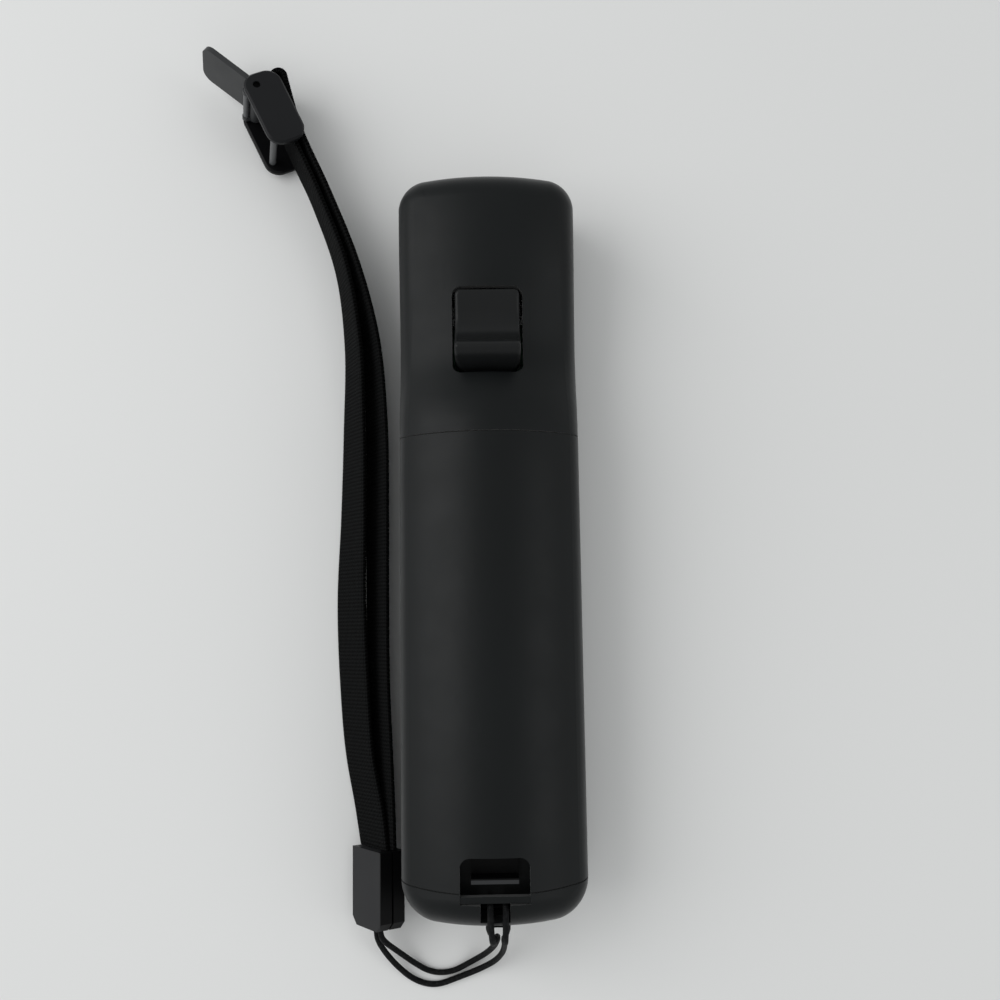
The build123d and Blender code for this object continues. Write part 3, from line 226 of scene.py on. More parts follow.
@dataclass(frozen=True)
class Dust:
    """Lint that lies in patches on a surface, with lengths in metres and the rest as shares of a cell."""

    colour: Colour = (0.45, 0.45, 0.44)
    patch: float = 21.0 * MM
    patch_reach: tuple[float, float] = (8.0 * MM, 16.0 * MM)
    speck: float = 1.9 * MM
    speck_reach: tuple[float, float] = (0.03, 0.08)

    def lay(
        self, bench: Bench, place: bpy.types.NodeSocket, amount: float, base: bpy.types.NodeSocket
    ) -> bpy.types.NodeSocket:
        """Lay the dust over a colour.

        Args:
            bench: the material.
            place: its coordinates.
            amount: how much of a speck covers what is below, from 0 to 1.
            base: the colour below.

        Returns:
            The dusty colour.
        """
        patches = bench.cells(place, self.patch).outputs["Distance"]
        specks = bench.cells(place, self.speck).outputs["Distance"]
        near = bench.spread(patches, amount, 0.0, *self.patch_reach)
        spot = bench.spread(specks, 1.0, 0.0, *self.speck_reach)
        return bench.overlay(bench.sum_up("MULTIPLY", near, spot), base, self.colour)


@dataclass(frozen=True)
class Plastic:
    """Moulded plastic with a fine grain, a slightly uneven gloss and a little dust.

    Where a painted light colour is given, the part below a plane across one axis takes it, and the base
    colour beyond that plane stands as painted shade. Sizes are in metres.
    """

    name: str
    colour: Colour
    gloss: float = 0.45
    level: float = 0.35
    relief: Relief = Relief.GRAIN
    depth: float = 0.012 * MM
    dust: float = 0.0
    coat: float = 0.0
    rim: float = 0.0
    rim_gloss: float = 0.35
    painted_light: Colour | None = None
    painted_light_axis: str = "Y"
    painted_light_below: float = 0.0
    cloud: float = 19.0 * MM
    cloud_stretch: tuple[float, float] = (0.35, 0.65)
    cloud_gain: float = 1.22
    wear: float = 6.5 * MM
    wear_detail: float = 4.0
    wear_shares: tuple[float, float] = (0.93, 1.09)
    grain: float = 0.22 * MM
    grain_detail: float = 2.0
    grain_strength: float = 0.35
    wave: float = 4.0 * MM
    wave_detail: float = 1.0
    wave_strength: float = 0.12

    def build(self) -> bpy.types.Material:
        """Make the material."""
        bench = Bench(self.name)
        place = bench.place()
        cloud = bench.spread(bench.noise(place, self.cloud), 0.0, 1.0, *self.cloud_stretch)
        colour = bench.blend(cloud, self.colour, paler(self.colour, self.cloud_gain))
        # Painted light and shade: below the plane the piece takes the lighter painted colour, and beyond
        # it keeps the base colour as painted shade.
        if self.painted_light:
            height = bench.along(place)[self.painted_light_axis]
            side = bench.spread(height, 1.0, 0.0, self.painted_light_below, self.painted_light_below + PAINTED_LIGHT_EDGE)
            colour = bench.overlay(side, colour, self.painted_light)
        if self.dust:
            colour = Dust().lay(bench, place, self.dust, colour)
        low, high = (self.gloss * share for share in self.wear_shares)
        wear = bench.noise(place, self.wear, self.wear_detail)
        bench.paint(colour, bench.spread(wear, low, high, *NOISE_MIDDLE))
        bench.set(
            Specular_IOR_Level=self.level, Coat_Weight=self.coat, Sheen_Weight=self.rim,
            Sheen_Roughness=self.rim_gloss,
        )
        if self.relief is Relief.GRAIN:
            grain = bench.noise(place, self.grain, self.grain_detail)
            bench.emboss(grain, self.grain_strength, self.depth)
        elif self.relief is Relief.CLEAN:
            wave = bench.noise(place, self.wave, self.wave_detail)
            bench.emboss(wave, self.wave_strength, self.depth)
        return bench.material


@dataclass(frozen=True)
class Metal:
    """Bare metal, brushed along one axis or spun about one."""

    name: str
    colour: Colour = (0.56, 0.56, 0.57)
    gloss: float = 0.28
    relief: Relief = Relief.BRUSHED
    lines: Point = (1.0, 18.0, 18.0)
    streak: float = 3.5 * MM
    streak_detail: float = 4.0
    streak_gain: float = 1.25
    gloss_shares: tuple[float, float] = (0.8, 1.3)
    strength: float = 0.25
    depth: float = 0.01 * MM

    def build(self) -> bpy.types.Material:
        """Make the material."""
        bench = Bench(self.name)
        streaks = bench.noise(bench.stretch(bench.place(), self.lines), self.streak, self.streak_detail)
        low, high = (self.gloss * share for share in self.gloss_shares)
        bench.paint(
            bench.blend(streaks, self.colour, paler(self.colour, self.streak_gain)),
            bench.spread(streaks, low, high, *NOISE_MIDDLE),
        )
        bench.set(Metallic=1.0)
        if self.relief is Relief.BRUSHED:
            bench.emboss(streaks, self.strength, self.depth)
        return bench.material


@dataclass(frozen=True)
class Rubber:
    """Soft silicone with a dull, slightly mottled surface."""

    name: str
    colour: Colour
    mottle: float = 3.0 * MM
    mottle_detail: float = 5.0
    mottle_gain: float = 1.3
    gloss: tuple[float, float] = (0.62, 0.8)
    grain: float = 0.4 * MM
    strength: float = 0.4
    depth: float = 0.03 * MM

    def build(self) -> bpy.types.Material:
        """Make the material."""
        bench = Bench(self.name)
        place = bench.place()
        mottle = bench.noise(place, self.mottle, self.mottle_detail)
        bench.paint(
            bench.blend(mottle, self.colour, paler(self.colour, self.mottle_gain)),
            bench.spread(mottle, *self.gloss, *NOISE_MIDDLE),
        )
        bench.emboss(bench.noise(place, self.grain), self.strength, self.depth)
        return bench.material


@dataclass(frozen=True)
class SolderMask:
    """A circuit board's lacquer, with its tracks just showing."""

    name: str
    colour: Colour
    track: Colour
    mesh: float = 3.2 * MM
    mesh_stretch: Point = (1.0, 0.35, 1.0)
    track_reach: tuple[float, float] = (0.04, 0.09)
    gloss: tuple[float, float] = (0.32, 0.45)
    strength: float = 0.5
    depth: float = 0.04 * MM

    def build(self) -> bpy.types.Material:
        """Make the material."""
        bench = Bench(self.name)
        web = bench.cells(bench.stretch(bench.place(), self.mesh_stretch), self.mesh, "DISTANCE_TO_EDGE")
        line = bench.spread(web.outputs["Distance"], 1.0, 0.0, *self.track_reach)
        bench.paint(bench.blend(line, self.colour, self.track), bench.spread(line, *self.gloss))
        bench.emboss(line, self.strength, self.depth)
        return bench.material


@dataclass(frozen=True)
class Glass:
    """Clear or tinted glass or plastic that light goes through."""

    name: str
    colour: Colour
    gloss: float = 0.06
    clear: float = 0.9
    bend: float = 1.5
    haze: float = 2.0 * MM
    haze_gain: float = 1.15
    haze_gloss: float = 2.0

    def build(self) -> bpy.types.Material:
        """Make the material."""
        bench = Bench(self.name)
        haze = bench.noise(bench.place(), self.haze)
        bench.paint(
            bench.blend(haze, self.colour, paler(self.colour, self.haze_gain)),
            bench.spread(haze, self.gloss, self.gloss * self.haze_gloss),
        )
        bench.set(Transmission_Weight=self.clear, IOR=self.bend)
        return bench.material


@dataclass(frozen=True)
class Wrap:
    """A cell's shrunk wrap in two plain tones, split along its length."""

    name: str
    body: Colour
    band: Colour
    split: float
    edge: float = 0.08 * MM
    scuff: float = 2.0 * MM
    scuff_detail: float = 5.0
    scuff_stretch: Point = (1.0, 0.2, 1.0)
    gloss: tuple[float, float] = (0.22, 0.38)
    metal: float = 0.35
    coat: float = 0.3
    strength: float = 0.2
    depth: float = 0.02 * MM

    def build(self) -> bpy.types.Material:
        """Make the material."""
        bench = Bench(self.name)
        place = bench.place()
        start, end = self.split - self.edge, self.split + self.edge
        side = bench.spread(bench.along(place)["Y"], 0.0, 1.0, start, end)
        scuff = bench.noise(bench.stretch(place, self.scuff_stretch), self.scuff, self.scuff_detail)
        bench.paint(
            bench.blend(side, self.body, self.band), bench.spread(scuff, *self.gloss, *NOISE_MIDDLE)
        )
        bench.set(Metallic=self.metal, Coat_Weight=self.coat)
        bench.emboss(scuff, self.strength, self.depth)
        return bench.material


@dataclass(frozen=True)
class Webbing:
    """Knitted band: columns of slanting stitches along it, dull, with a soft sheen; its raised stitches
    carry painted light and the hollows between them painted shade.
    """

    name: str
    colour: Colour
    painted_light: Colour
    column: float = 1.0 * MM
    stitch: float = 0.78 * MM
    slant: float = 1.7
    stitch_share: float = 0.5
    shade_stretch: tuple[float, float] = (0.5, 1.6)
    fuzz: float = 0.4 * MM
    gloss: tuple[float, float] = (0.78, 0.95)
    level: float = 0.05
    sheen: float = 0.008
    sheen_gloss: float = 0.45
    depth: float = 0.2 * MM

    def build(self) -> bpy.types.Material:
        """Make the material."""
        bench = Bench(self.name)
        parts = bench.along(bench.place("UV"))
        across = bench.sum_up("MULTIPLY", parts["X"], math.tau / self.column)
        column = bench.sum_up("ABSOLUTE", bench.sum_up("SINE", across))
        lean = bench.sum_up("MULTIPLY", column, self.slant)
        along = bench.sum_up("ADD", bench.sum_up("MULTIPLY", parts["Y"], math.tau / self.stitch), lean)
        stitch = bench.sum_up("MULTIPLY", bench.sum_up("SINE", along), self.stitch_share)
        fuzz = bench.noise(bench.place(), self.fuzz)
        height = bench.sum_up("ADD", bench.sum_up("ADD", stitch, column), fuzz)
        # Painted light and shade: raised stitches take the lighter painted colour, and the hollows
        # between them take the dark one as painted shade.
        shade = bench.spread(height, 0.0, 1.0, *self.shade_stretch)
        bench.paint(
            bench.blend(shade, self.colour, self.painted_light), bench.spread(fuzz, *self.gloss, *NOISE_MIDDLE)
        )
        bench.set(
            Specular_IOR_Level=self.level, Sheen_Weight=self.sheen, Sheen_Roughness=self.sheen_gloss
        )
        bench.emboss(height, 1.0, self.depth)
        return bench.material


@dataclass(frozen=True)
class Braid:
    """Braided cord: small slanting stitches round it, with painted light on each stitch's top and painted
    shade between the stitches.
    """

    name: str
    colour: Colour
    painted_light: Colour
    stitch: float = 0.52 * MM
    stitch_stretch: Point = (1.0, 0.75, 1.0)
    stitch_reach: tuple[float, float] = (0.1, 0.6)
    fuzz: float = 0.3 * MM
    gloss: tuple[float, float] = (0.55, 0.8)
    level: float = 0.12
    sheen: float = 0.02
    strength: float = 0.8
    depth: float = 0.1 * MM

    def build(self) -> bpy.types.Material:
        """Make the material."""
        bench = Bench(self.name)
        place = bench.place()
        stitch = bench.cells(bench.stretch(place, self.stitch_stretch), self.stitch)
        bump = bench.spread(stitch.outputs["Distance"], 1.0, 0.0, *self.stitch_reach)
        fuzz = bench.noise(place, self.fuzz)
        # Painted light and shade: each stitch's raised middle takes the lighter painted colour, and the
        # gaps between stitches take the dark one as painted shade.
        bench.paint(
            bench.blend(bump, self.colour, self.painted_light), bench.spread(fuzz, *self.gloss, *NOISE_MIDDLE)
        )
        bench.set(Specular_IOR_Level=self.level, Sheen_Weight=self.sheen)
        bench.emboss(bench.sum_up("ADD", bump, fuzz), self.strength, self.depth)
        return bench.material


@dataclass(frozen=True)
class TableTop:
    """The pale surface under the controller."""

    name: str
    colour: Colour
    cloud: float = 0.31
    cloud_detail: float = 2.0
    cloud_gain: float = 1.035
    gloss: tuple[float, float] = (0.5, 0.62)
    level: float = 0.2

    def build(self) -> bpy.types.Material:
        """Make the material."""
        bench = Bench(self.name)
        cloud = bench.noise(bench.place(), self.cloud, self.cloud_detail)
        tone = bench.spread(cloud, 0.0, 1.0, *NOISE_MIDDLE)
        bench.paint(
            bench.blend(tone, self.colour, paler(self.colour, self.cloud_gain)),
            bench.spread(cloud, *self.gloss),
        )
        bench.set(Specular_IOR_Level=self.level)
        return bench.material


Finish = Plastic | Metal | Rubber | SolderMask | Glass | Wrap


def link(piece: bpy.types.Object) -> bpy.types.Object:
    """Put an object into the scene."""
    bpy.context.scene.collection.objects.link(piece)
    return piece


def coat(piece: bpy.types.Object, material: bpy.types.Material) -> None:
    """Give an object one material, without touching its mesh."""
    if not piece.material_slots:
        piece.data.materials.append(material)
    for place in piece.material_slots:
        place.link = "OBJECT"
        place.material = material


def dress(names: tuple[str, ...], finish: Finish) -> None:
    """Give CAD nodes one finish.

    Args:
        names: the nodes.
        finish: what they are made of.
    """
    material = finish.build()
    for name in names:
        coat(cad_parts[name], material)
        log.info("dressed %s in %s", name, finish.name)


def mesh_piece(
    name: str, points: list[Vector], faces: list[tuple[int, ...]], smooth: bool = True
) -> bpy.types.Object:
    """Make a mesh object from points and faces.

    Args:
        name: the piece's name.
        points: places in metres.
        faces: corners of each face.
        smooth: whether it shades smoothly.

    Returns:
        The linked object.
    """
    mesh = bpy.data.meshes.new(name)
    mesh.from_pydata([tuple(point) for point in points], [], faces)
    body = bmesh.new()
    body.from_mesh(mesh)
    bmesh.ops.recalc_face_normals(body, faces=body.faces)
    for face in body.faces:
        face.smooth = smooth
    body.to_mesh(mesh)
    body.free()
    return link(bpy.data.objects.new(name, mesh))


@dataclass
class Camera:
    """The photograph's point of view."""

    place: Point = (-0.147 * MM, -19.068 * MM, 243.04 * MM)
    turn: Point = (0.1176, -0.009, -0.0143)
    lens: float = 40.32
    sensor: float = 36.0
    nearest: float = 10.0 * MM

    def build(self) -> None:
        """Make the camera and look through it."""
        data = bpy.data.cameras.new("view")
        data.lens = self.lens
        data.sensor_width = self.sensor
        data.clip_start = self.nearest
        camera = link(bpy.data.objects.new("view", data))
        axis = Vector(self.turn)
        turned = Matrix.Rotation(axis.length, 4, axis.normalized())
        camera.matrix_world = Matrix.Translation(self.place) @ turned
        bpy.context.scene.camera = camera
        log.info("camera at %s", self.place)


@dataclass
class Studio:
    """Floor, soft lamps and the light all round."""

    floor_half: float = 1.6
    floor_colour: Colour = (0.722, 0.724, 0.72)
    key_place: Point = (-0.65, 0.15, 0.6)
    key_size: float = 0.8
    key_power: float = 4.0
    fill_place: Point = (0.75, -0.1, 0.7)
    fill_size: float = 0.5
    fill_power: float = 0.9
    sky: Colour = (0.98, 1.0, 1.0)
    sky_level: float = 0.61

    def floor(self) -> None:
        """Make the surface that the controller lies on."""
        half = self.floor_half
        corners = [Vector((x * half, y * half, 0.0)) for x, y in ((-1, -1), (1, -1), (1, 1), (-1, 1))]
        table = mesh_piece("table_top", corners, [(0, 1, 2, 3)], smooth=False)
        coat(table, TableTop("pale table", self.floor_colour).build())

    def lamp(self, name: str, place: Point, size: float, power: float) -> None:
        """A soft square lamp that faces the controller.

        Args:
            name: the lamp's name.
            place: where it hangs.
            size: its side.
            power: its power in watts.
        """
        data = bpy.data.lights.new(name, "AREA")
        data.shape = "SQUARE"
        data.size = size
        data.energy = power
        lamp = link(bpy.data.objects.new(name, data))
        lamp.location = place
        lamp.rotation_euler = Vector(place).to_track_quat("Z", "Y").to_euler()

    def sky_light(self) -> None:
        """Even light from all round."""
        world = bpy.data.worlds.new("room")
        world.use_nodes = True
        back = world.node_tree.nodes["Background"]
        back.inputs["Color"].default_value = (*self.sky, 1.0)
        back.inputs["Strength"].default_value = self.sky_level
        bpy.context.scene.world = world

    def build(self) -> None:
        """Make the whole studio."""
        self.floor()
        self.lamp("window", self.key_place, self.key_size, self.key_power)
        self.lamp("wall", self.fill_place, self.fill_size, self.fill_power)
        self.sky_light()
        view = bpy.context.scene.view_settings
        view.view_transform = "Standard"
        log.info("studio ready")


@dataclass
class HitchCord:
    """One of the two cords that lead from the strap pin to the clamp.

    Its route is in millimetres, with Y counted from the tip of the tail.
    """

    name: str
    route: tuple[Point, ...]
    length: float
    node: str
    with_pieces: tuple[str, ...] = ()
    diameter: float = 1.2 * MM
    tail: float = -74.0
    order: int = 3
    round_steps: int = 3
    steps: int = 10

    def points(self) -> list[Vector]:
        """The route's points in metres."""
        return [Vector((x, self.tail + y, z)) * MM for x, y, z in self.route]

    def build(self, material: bpy.types.Material) -> bpy.types.Object:
        """Make the cord.

        Args:
            material: its braid.

        Returns:
            The cord's curve.
        """
        points = self.points()
        curve = bpy.data.curves.new(self.name, "CURVE")
        curve.dimensions = "3D"
        curve.bevel_depth = self.diameter / 2
        curve.bevel_resolution = self.round_steps
        curve.resolution_u = self.steps
        curve.use_fill_caps = True
        spline = curve.splines.new("NURBS")
        spline.points.add(len(points) - 1)
        for place, point in zip(spline.points, points):
            place.co = (*point, 1.0)
        spline.order_u = self.order
        spline.use_endpoint_u = True
        cord = link(bpy.data.objects.new(self.name, curve))
        coat(cord, material)
        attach(cord, "root")
        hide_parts(self.node)
        list(self.with_pieces)
        log.info("cord %s with %d points", self.name, len(points))
        return cord


@dataclass
class WristBand:
    """The knitted band: up along the case, round the clip's end and back.

    Sizes are in millimetres. A row gives the place along the case as a share of its length, then the
    lower and the upper edge of the left layer and of the right one, and the lift off the table, as
    shares of the case's width. The turn joins the two layers beyond the last row.
    """

    case_length: float = 148.0
    case_width: float = 36.2
    width: float = 10.5
    thick: float = 1.2
    stand: float = 0.05
    fold_reach: float = 1.45
    fold_steps: int = 5
    floor_gap: float = 0.03
    columns: int = 22
    pitch: float = 0.42
    relief: float = 0.055
    selvedge: float = 0.08
    selvedge_relief: float = 0.3
    edge_thickness: float = 0.45
    edge_rise: float = 9.0
    groove_place: float = 0.115
    groove_width: float = 0.018
    groove_depth: float = 0.14
    rows: tuple[tuple[float, ...], ...] = (
        (-0.422, -0.786, -0.614, -0.745, -0.573, 0.047),
        (-0.375, -0.820, -0.640, -0.752, -0.580, 0.022),
        (-0.300, -0.878, -0.698, -0.750, -0.592, 0.0),
        (-0.200, -0.914, -0.729, -0.752, -0.608, 0.0),
        (-0.080, -0.930, -0.748, -0.752, -0.612, 0.0),
        (0.040, -0.908, -0.744, -0.757, -0.611, 0.0),
        (0.170, -0.891, -0.747, -0.757, -0.616, 0.0),
        (0.300, -0.883, -0.770, -0.785, -0.664, 0.006),
        (0.410, -0.935, -0.850, -0.873, -0.780, 0.020),
        (0.510, -1.070, -1.003, -1.020, -0.940, 0.055),
        (0.615, -1.258, -1.190, -1.200, -1.125, 0.070),
        (0.685, -1.350, -1.285, -1.268, -1.205, 0.070),
    )

    def edge_points(self, side: int) -> list[tuple[np.ndarray, np.ndarray]]:
        """Lower and upper edge of one layer at each row, in mm.

        Args:
            side: 0 for the left layer, 1 for the right one.

        Returns:
            Pairs of a lower and an upper point on the layer's middle.
        """
        pairs = []
        for row in self.rows:
            along, lift = row[0] * self.case_length, row[5]
            low_x, high_x = (row[1 + 2 * side + k] * self.case_width for k in (0, 1))
            low_z = self.stand + lift * self.case_width
            high_z = low_z + math.sqrt(self.width**2 - (high_x - low_x) ** 2)
            half = 0.5 * self.thick * self.width / (high_z - low_z)
            low, high = (low_x + half, along, low_z), (high_x + half, along, high_z)
            pairs.append((np.array(low), np.array(high)))
        return pairs

    def stations(self) -> tuple[np.ndarray, np.ndarray]:
        """The band's lower and upper edge from end to end.

        Returns:
            Two arrays of evenly spaced points in mm.
        """
        left, right = self.edge_points(0), self.edge_points(1)
        turn = []
        for angle in np.linspace(0.0, math.pi, self.fold_steps + 2)[1:-1]:
            share = (1.0 - math.cos(angle)) / 2
            reach = np.array((0.0, math.sin(angle) * self.fold_reach, 0.0))
            turn.append(tuple(left[-1][k] * (1 - share) + right[-1][k] * share + reach for k in (0, 1)))
        pairs = left + turn + right[::-1]
        low, high = (np.array([pair[k] for pair in pairs]) for k in (0, 1))
        middle = (low + high) / 2
        steps = np.concatenate(([0.0], np.cumsum(np.linalg.norm(np.diff(middle, axis=0), axis=1))))
        count = int(steps[-1] / self.pitch)
        places = np.linspace(0.0, steps[-1], count)
        return self.smooth(steps, low, places), self.smooth(steps, high, places)

    @staticmethod
    def smooth(steps: np.ndarray, values: np.ndarray, places: np.ndarray) -> np.ndarray:
        """A smooth line through points.

        Args:
            steps: distance along the line at each point.
            values: the points.
            places: where the line is wanted.

        Returns:
            A point for each place.
        """
        slopes = np.gradient(values, steps, axis=0)
        index = np.clip(np.searchsorted(steps, places, side="right") - 1, 0, len(steps) - 2)
        span = (steps[index + 1] - steps[index])[:, None]
        t = (places - steps[index])[:, None] / span
        blend = 3 * t**2 - 2 * t**3
        leave, arrive = slopes[index] * span, slopes[index + 1] * span
        line = (1 - blend) * values[index] + blend * values[index + 1]
        return line + (t**3 - 2 * t**2 + t) * leave + (t**3 - t**2) * arrive

    def section(self) -> list[tuple[float, float, float]]:
        """The band's outline across it: share of the width, share of half the thickness, knit sign."""
        columns = range(self.columns + 1)
        outline = []
        for face, order in ((1, columns), (-1, reversed(columns))):
            for column in order:
                share = column / self.columns
                outline.append((share, face * self.rounded(share), 1.0 if column % 2 else -1.0))
        return outline

    def rounded(self, share: float) -> float:
        """How thick the band is at a share of its width, with a groove inside each edge."""
        edge = min(share, 1.0 - share)
        body = min(1.0, self.edge_thickness + edge * self.edge_rise)
        from_groove = (edge - self.groove_place) / self.groove_width
        return body - self.groove_depth * math.exp(-(from_groove**2))

    def weight(self, share: float) -> float:
        """How much of the knit's relief there is at a share of the width."""
        return 1.0 if self.selvedge < share < 1.0 - self.selvedge else self.selvedge_relief

    def build(self, material: bpy.types.Material) -> bpy.types.Object:
        """Make the band.

        Args:
            material: its knit.

        Returns:
            The band's mesh object.
        """
        low, high = self.stations()
        outline = self.section()
        middle = (low + high) / 2
        run = np.gradient(middle, axis=0)
        points, faces, marks = [], [], []
        count, ring = len(low), len(outline)
        travel = np.concatenate(([0.0], np.cumsum(np.linalg.norm(np.diff(middle, axis=0), axis=1))))
        for station in range(count):
            rise = high[station] - low[station]
            normal = np.cross(run[station], rise)
            normal /= np.linalg.norm(normal)
            for share, out, sign in outline:
                knit = self.relief * sign * (1.0 if station % 2 else -1.0) * self.weight(share)
                point = Vector(low[station] + rise * share + normal * out * (self.thick / 2 + knit))
                point.z = max(point.z, self.floor_gap)
                points.append(point * MM)
                marks.append((share * self.width * MM, travel[station] * MM))
        for station in range(count - 1):
            first, second = station * ring, (station + 1) * ring
            for corner in range(ring):
                after = (corner + 1) % ring
                faces.append((first + corner, first + after, second + after, second + corner))
        faces.append(tuple(range(ring)))
        faces.append(tuple(range((count - 1) * ring, count * ring)))
        band = mesh_piece("knitted_wrist_band", points, faces)
        layer = band.data.uv_layers.new(name="knit")
        for loop in band.data.loops:
            layer.data[loop.index].uv = marks[loop.vertex_index]
        coat(band, material)
        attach(band, "root")
        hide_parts("wrist_webbing")
        log.info("band of %.1f mm with %d stations", travel[-1], count)
        return band


@dataclass
class WristStrap:
    """Cords, clamp, band and lock clip."""

    left_route: tuple[Point, ...] = (
        (0.5, -0.95, 19.1), (-0.55, -0.95, 19.1), (-1.3, -0.95, 20.0), (-1.3, -0.95, 22.2),
        (-1.0, -0.95, 24.7), (-0.95, -0.6, 27.0), (-0.95, 0.7, 28.3), (-0.95, 2.0, 27.0),
        (-0.95, 1.85, 24.6), (-0.95, 1.75, 22.2), (-0.95, 2.4, 20.85), (-0.95, 4.0, 20.85),
        (-0.95, 4.65, 22.2), (-0.95, 4.5, 24.6), (-0.95, 3.9, 27.3), (-0.9, 2.6, 29.5),
        (-0.8, 0.4, 29.9), (-0.6, -1.9, 28.6), (-0.3, -2.8, 25.4), (0.1, -2.8, 21.5),
        (0.35, -3.5, 17.5), (0.3, -5.6, 12.6), (-0.3, -8.0, 7.6), (-2.0, -10.6, 3.2),
        (-5.2, -12.9, 0.85), (-9.3, -15.0, 0.62), (-13.6, -14.9, 0.62), (-17.2, -12.6, 1.3),
        (-20.2, -9.8, 3.4), (-22.4, -7.6, 5.6), (-23.4, -5.9, 6.86), (-23.4, -4.12, 6.86),
    )
    right_route: tuple[Point, ...] = (
        (0.5, -0.95, 19.1), (1.55, -0.95, 19.1), (2.3, -0.95, 20.0), (2.3, -0.95, 22.2),
        (2.0, -0.95, 24.7), (1.95, -0.6, 27.0), (1.95, 0.7, 28.3), (1.95, 2.0, 27.0),
        (1.95, 1.85, 24.6), (1.95, 1.75, 22.2), (1.95, 2.4, 20.85), (1.95, 4.0, 20.85),
        (1.95, 4.65, 22.2), (1.95, 4.5, 24.6), (1.95, 3.9, 27.3), (1.9, 2.6, 29.5),
        (1.85, 0.4, 29.9), (1.75, -1.9, 28.6), (1.65, -2.8, 25.4), (1.6, -2.9, 21.5),
        (1.7, -3.8, 17.5), (1.8, -6.3, 12.4), (1.5, -9.2, 7.4), (0.0, -12.0, 3.4),
        (-3.4, -14.3, 1.0), (-7.9, -16.0, 0.62), (-12.6, -17.6, 0.62), (-17.0, -16.4, 0.7),
        (-20.6, -13.0, 2.0), (-23.0, -9.6, 3.6), (-24.1, -7.1, 5.1), (-24.28, -5.6, 5.64),
        (-24.28, -4.12, 5.64),
    )
    left_length: float = 0.0907
    right_length: float = 0.0956
    # Across X, the clamp's left face is painted light up to here, and beyond it the clamp is painted
    # shade.
    clamp_painted_light_edge: float = -23.0 * MM
    # For the braid and the band, the second colour is painted light on the raised stitches and the first
    # is painted shade between them.
    braid: Braid = Braid("braided cord", (0.0025, 0.0027, 0.003), (0.0085, 0.009, 0.0095))
    knit: Webbing = Webbing("knitted band", (0.0003, 0.0003, 0.0003), (0.0085, 0.009, 0.0092))
    finishes: tuple[tuple[tuple[str, ...], Finish], ...] = (
        (
            ("clamp_lower_half", "clamp_upper_half"),
            # The clamp halves carry painted light on their left face and painted shade on their top and
            # right faces.
            Plastic(
                "clamp plastic with painted light and shade", (0.0024, 0.0024, 0.0026), gloss=0.42, level=0.1,
                painted_light=(0.02, 0.0202, 0.0216), painted_light_axis="X", painted_light_below=clamp_painted_light_edge,
            ),
        ),
        (
            ("clip_lower_cheek",),
            Plastic("lower cheek plastic", (0.003, 0.003, 0.0034), gloss=0.4, level=0.12),
        ),
        (
            ("clip_upper_cheek",),
            Plastic("cheek plastic", (0.0085, 0.0088, 0.0098), gloss=0.4, level=0.14),
        ),
        (("clip_lever",), Plastic("lever plastic", (0.034, 0.035, 0.0365), gloss=0.42, level=0.2)),
        (("clip_post", "clip_cam_pin"), Plastic("post plastic", (0.085, 0.087, 0.09), gloss=0.4)),
        (("clip_pin",), Metal("blackened clip pin", (0.004, 0.004, 0.0042), 0.5)),
    )

    def cords(self) -> None:
        """Make the two cords."""
        braid = self.braid.build()
        left = HitchCord(
            "left_strap_cord", self.left_route, self.left_length, "left_cord", ("clamp_upper_half",)
        )
        right = HitchCord(
            "right_strap_cord", self.right_route, self.right_length, "right_cord", ("clamp_lower_half",)
        )
        for cord in (left, right):
            cord.build(braid)

    def build(self) -> None:
        """Make the band and dress the clamp and the clip."""
        for names, finish in self.finishes:
            dress(names, finish)
        WristBand().build(self.knit.build())


@dataclass
class Case:
    """The housing with its cover, latch, trigger and everything on its outside."""

    # Along Y, the latch's lip is painted light on the tail side of here, and on the nose side the latch
    # is painted shade down in the notch.
    latch_painted_light_edge: float = -65.2 * MM
    finishes: tuple[tuple[tuple[str, ...], Finish], ...] = (
        (
            ("back_shell", "battery_cover"),
            Plastic(
                "fine-grained black housing", (0.0022, 0.0031, 0.0034), gloss=0.42, level=0.19, dust=0.4,
                rim=0.16,
            ),
        ),
        (
            ("front_shell",),
            Plastic(
                "satin black front", (0.0056, 0.0062, 0.0066), gloss=0.3, level=0.2, depth=0.006 * MM
            ),
        ),
        (
            ("trigger",),
            Plastic(
                "trigger plastic", (0.0072, 0.0077, 0.008), gloss=0.3, level=0.18, relief=Relief.CLEAN
            ),
        ),
        (
            ("cover_latch",),
            # The latch carries painted light on its lip and painted shade deeper in the notch.
            Plastic(
                "latch plastic with painted light and shade", (0.0016, 0.0016, 0.0018), gloss=0.4, level=0.1,
                painted_light=(0.036, 0.037, 0.039), painted_light_axis="Y", painted_light_below=latch_painted_light_edge,
            ),
        ),
        (
            (
                "power_button", "minus_button", "home_button", "plus_button", "first_button",
                "second_button", "cross_pad",
            ),
            Plastic("half-gloss black keys", (0.012, 0.0126, 0.0135), gloss=0.26, relief=Relief.CLEAN),
        ),
        (
            ("main_button",),
            Plastic(
                "clear-coated round key", (0.015, 0.0155, 0.016), gloss=0.2, relief=Relief.CLEAN, coat=0.6
            ),
        ),
        (("pairing_button",), Plastic("red key", (0.42, 0.012, 0.012), gloss=0.3, relief=Relief.CLEAN)),
        (("lamp_windows",), Glass("milky lamp window", (0.62, 0.74, 0.9), gloss=0.3, clear=0.5)),
        (
            ("infrared_window",),
            Plastic("dark window", (0.004, 0.0022, 0.003), gloss=0.08, level=0.5, relief=Relief.CLEAN),
        ),
        (("expansion_port", "port_contacts"), Plastic("port plastic", (0.56, 0.56, 0.55), gloss=0.5)),
    )

    def build(self) -> None:
        """Dress the outside."""
        for names, finish in self.finishes:
            dress(names, finish)


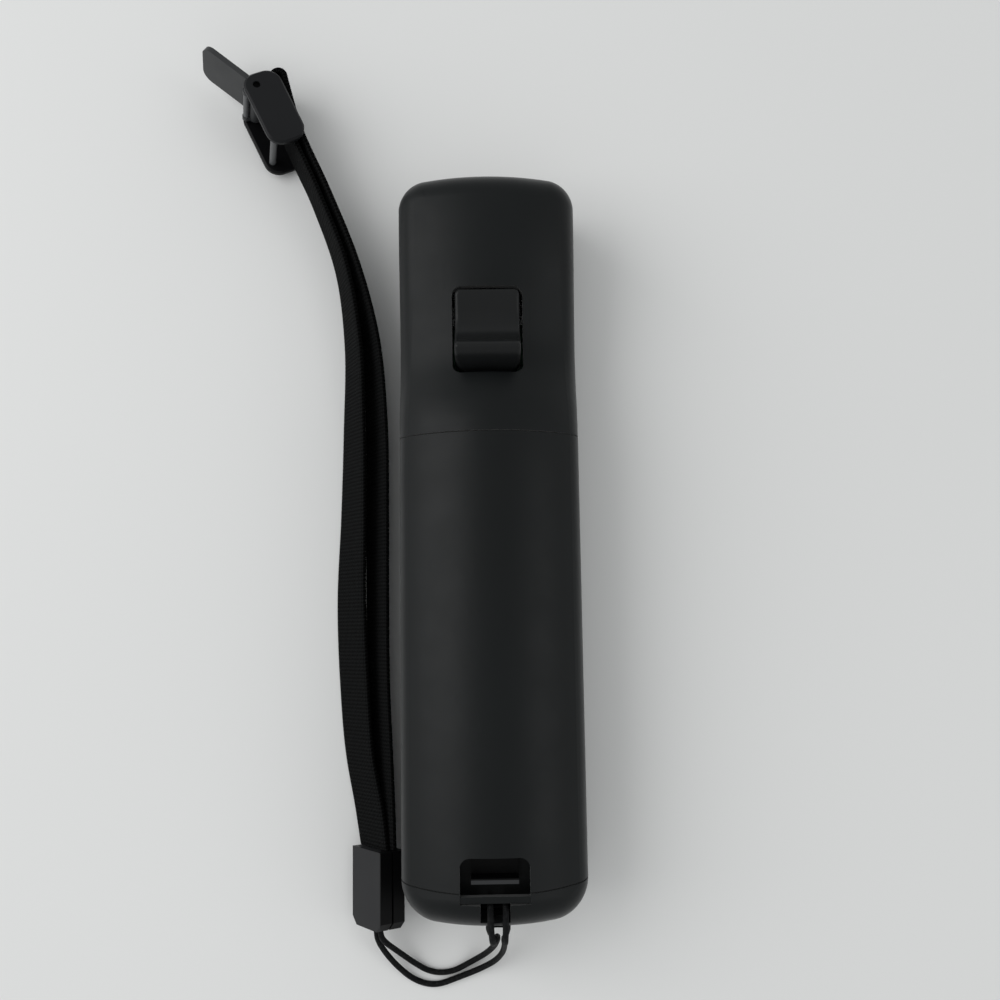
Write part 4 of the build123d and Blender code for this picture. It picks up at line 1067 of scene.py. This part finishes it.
@dataclass
class Inside:
    """What shows when the cover is up, and the works behind it."""

    finishes: tuple[tuple[tuple[str, ...], Finish], ...] = (
        (
            (
                "switch_bridge", "trigger_switch", "speaker", "speaker_cone", "infrared_camera",
                "pad_ball", "pairing_switch", "motor_cradle",
            ),
            Plastic("inner moulding", (0.03, 0.03, 0.032), gloss=0.55),
        ),
        (
            ("processor_chip", "memory_chip", "motion_sensor"),
            Plastic("chip package", (0.012, 0.012, 0.013), gloss=0.6),
        ),
        (("main_board",), SolderMask("board lacquer", (0.008, 0.09, 0.035), (0.02, 0.17, 0.07))),
        (("keypad_sheet",), Rubber("keypad silicone", (0.2, 0.2, 0.21))),
        (("lamp_diodes",), Plastic("lamp bodies", (0.6, 0.62, 0.6), gloss=0.35, relief=Relief.CLEAN)),
        (("camera_lens",), Glass("lens glass", (0.3, 0.35, 0.45))),
        (
            (
                "trigger_pin", "trigger_spring", "radio_shield", "housing_screws", "nose_contacts",
                "tail_contacts", "rumble_weight",
            ),
            Metal("plated steel"),
        ),
        # The strap pin is steel; its near-black colour is painted shade for the shadowed slot and knot
        # around it.
        (("strap_pin",), Metal("steel darkened as painted shade", (0.004, 0.004, 0.0042), 0.5)),
        (("rumble_motor",), Metal("motor can", (0.5, 0.5, 0.5), 0.22, Relief.SPUN, (18.0, 1.0, 1.0))),
    )
    wrap_dark: Colour = (0.02, 0.022, 0.025)
    wrap_pale: Colour = (0.32, 0.29, 0.2)
    wrap_share: float = 0.28

    def build(self) -> None:
        """Dress the works."""
        for names, finish in self.finishes:
            dress(names, finish)
        self.cells()

    def cells(self) -> None:
        """Dress the two cells, which lie turned end for end."""
        tones = (self.wrap_pale, self.wrap_dark)
        for node, share, (body, band) in (
            ("left_cell", self.wrap_share, tones), ("right_cell", 1.0 - self.wrap_share, tones[::-1])
        ):
            low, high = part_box(node)
            split = low.y + (high.y - low.y) * share
            dress((node,), Wrap(f"wrap of {node}", body, band, split))


@dataclass
class Wand:
    """The whole controller in its studio."""

    camera: Camera = field(default_factory=Camera)
    strap: WristStrap = field(default_factory=WristStrap)
    case: Case = field(default_factory=Case)
    inside: Inside = field(default_factory=Inside)
    studio: Studio = field(default_factory=Studio)

    def build(self) -> None:
        """Make everything, camera and cords first."""
        self.camera.build()
        self.strap.cords()
        self.case.build()
        self.inside.build()
        self.strap.build()
        self.studio.build()


def main() -> None:
    """Build the wand."""
    logging.basicConfig(level=logging.INFO, format="%(name)s: %(message)s")
    Wand().build()
    bpy.context.view_layer.update()


if __name__ == "__main__":
    main()
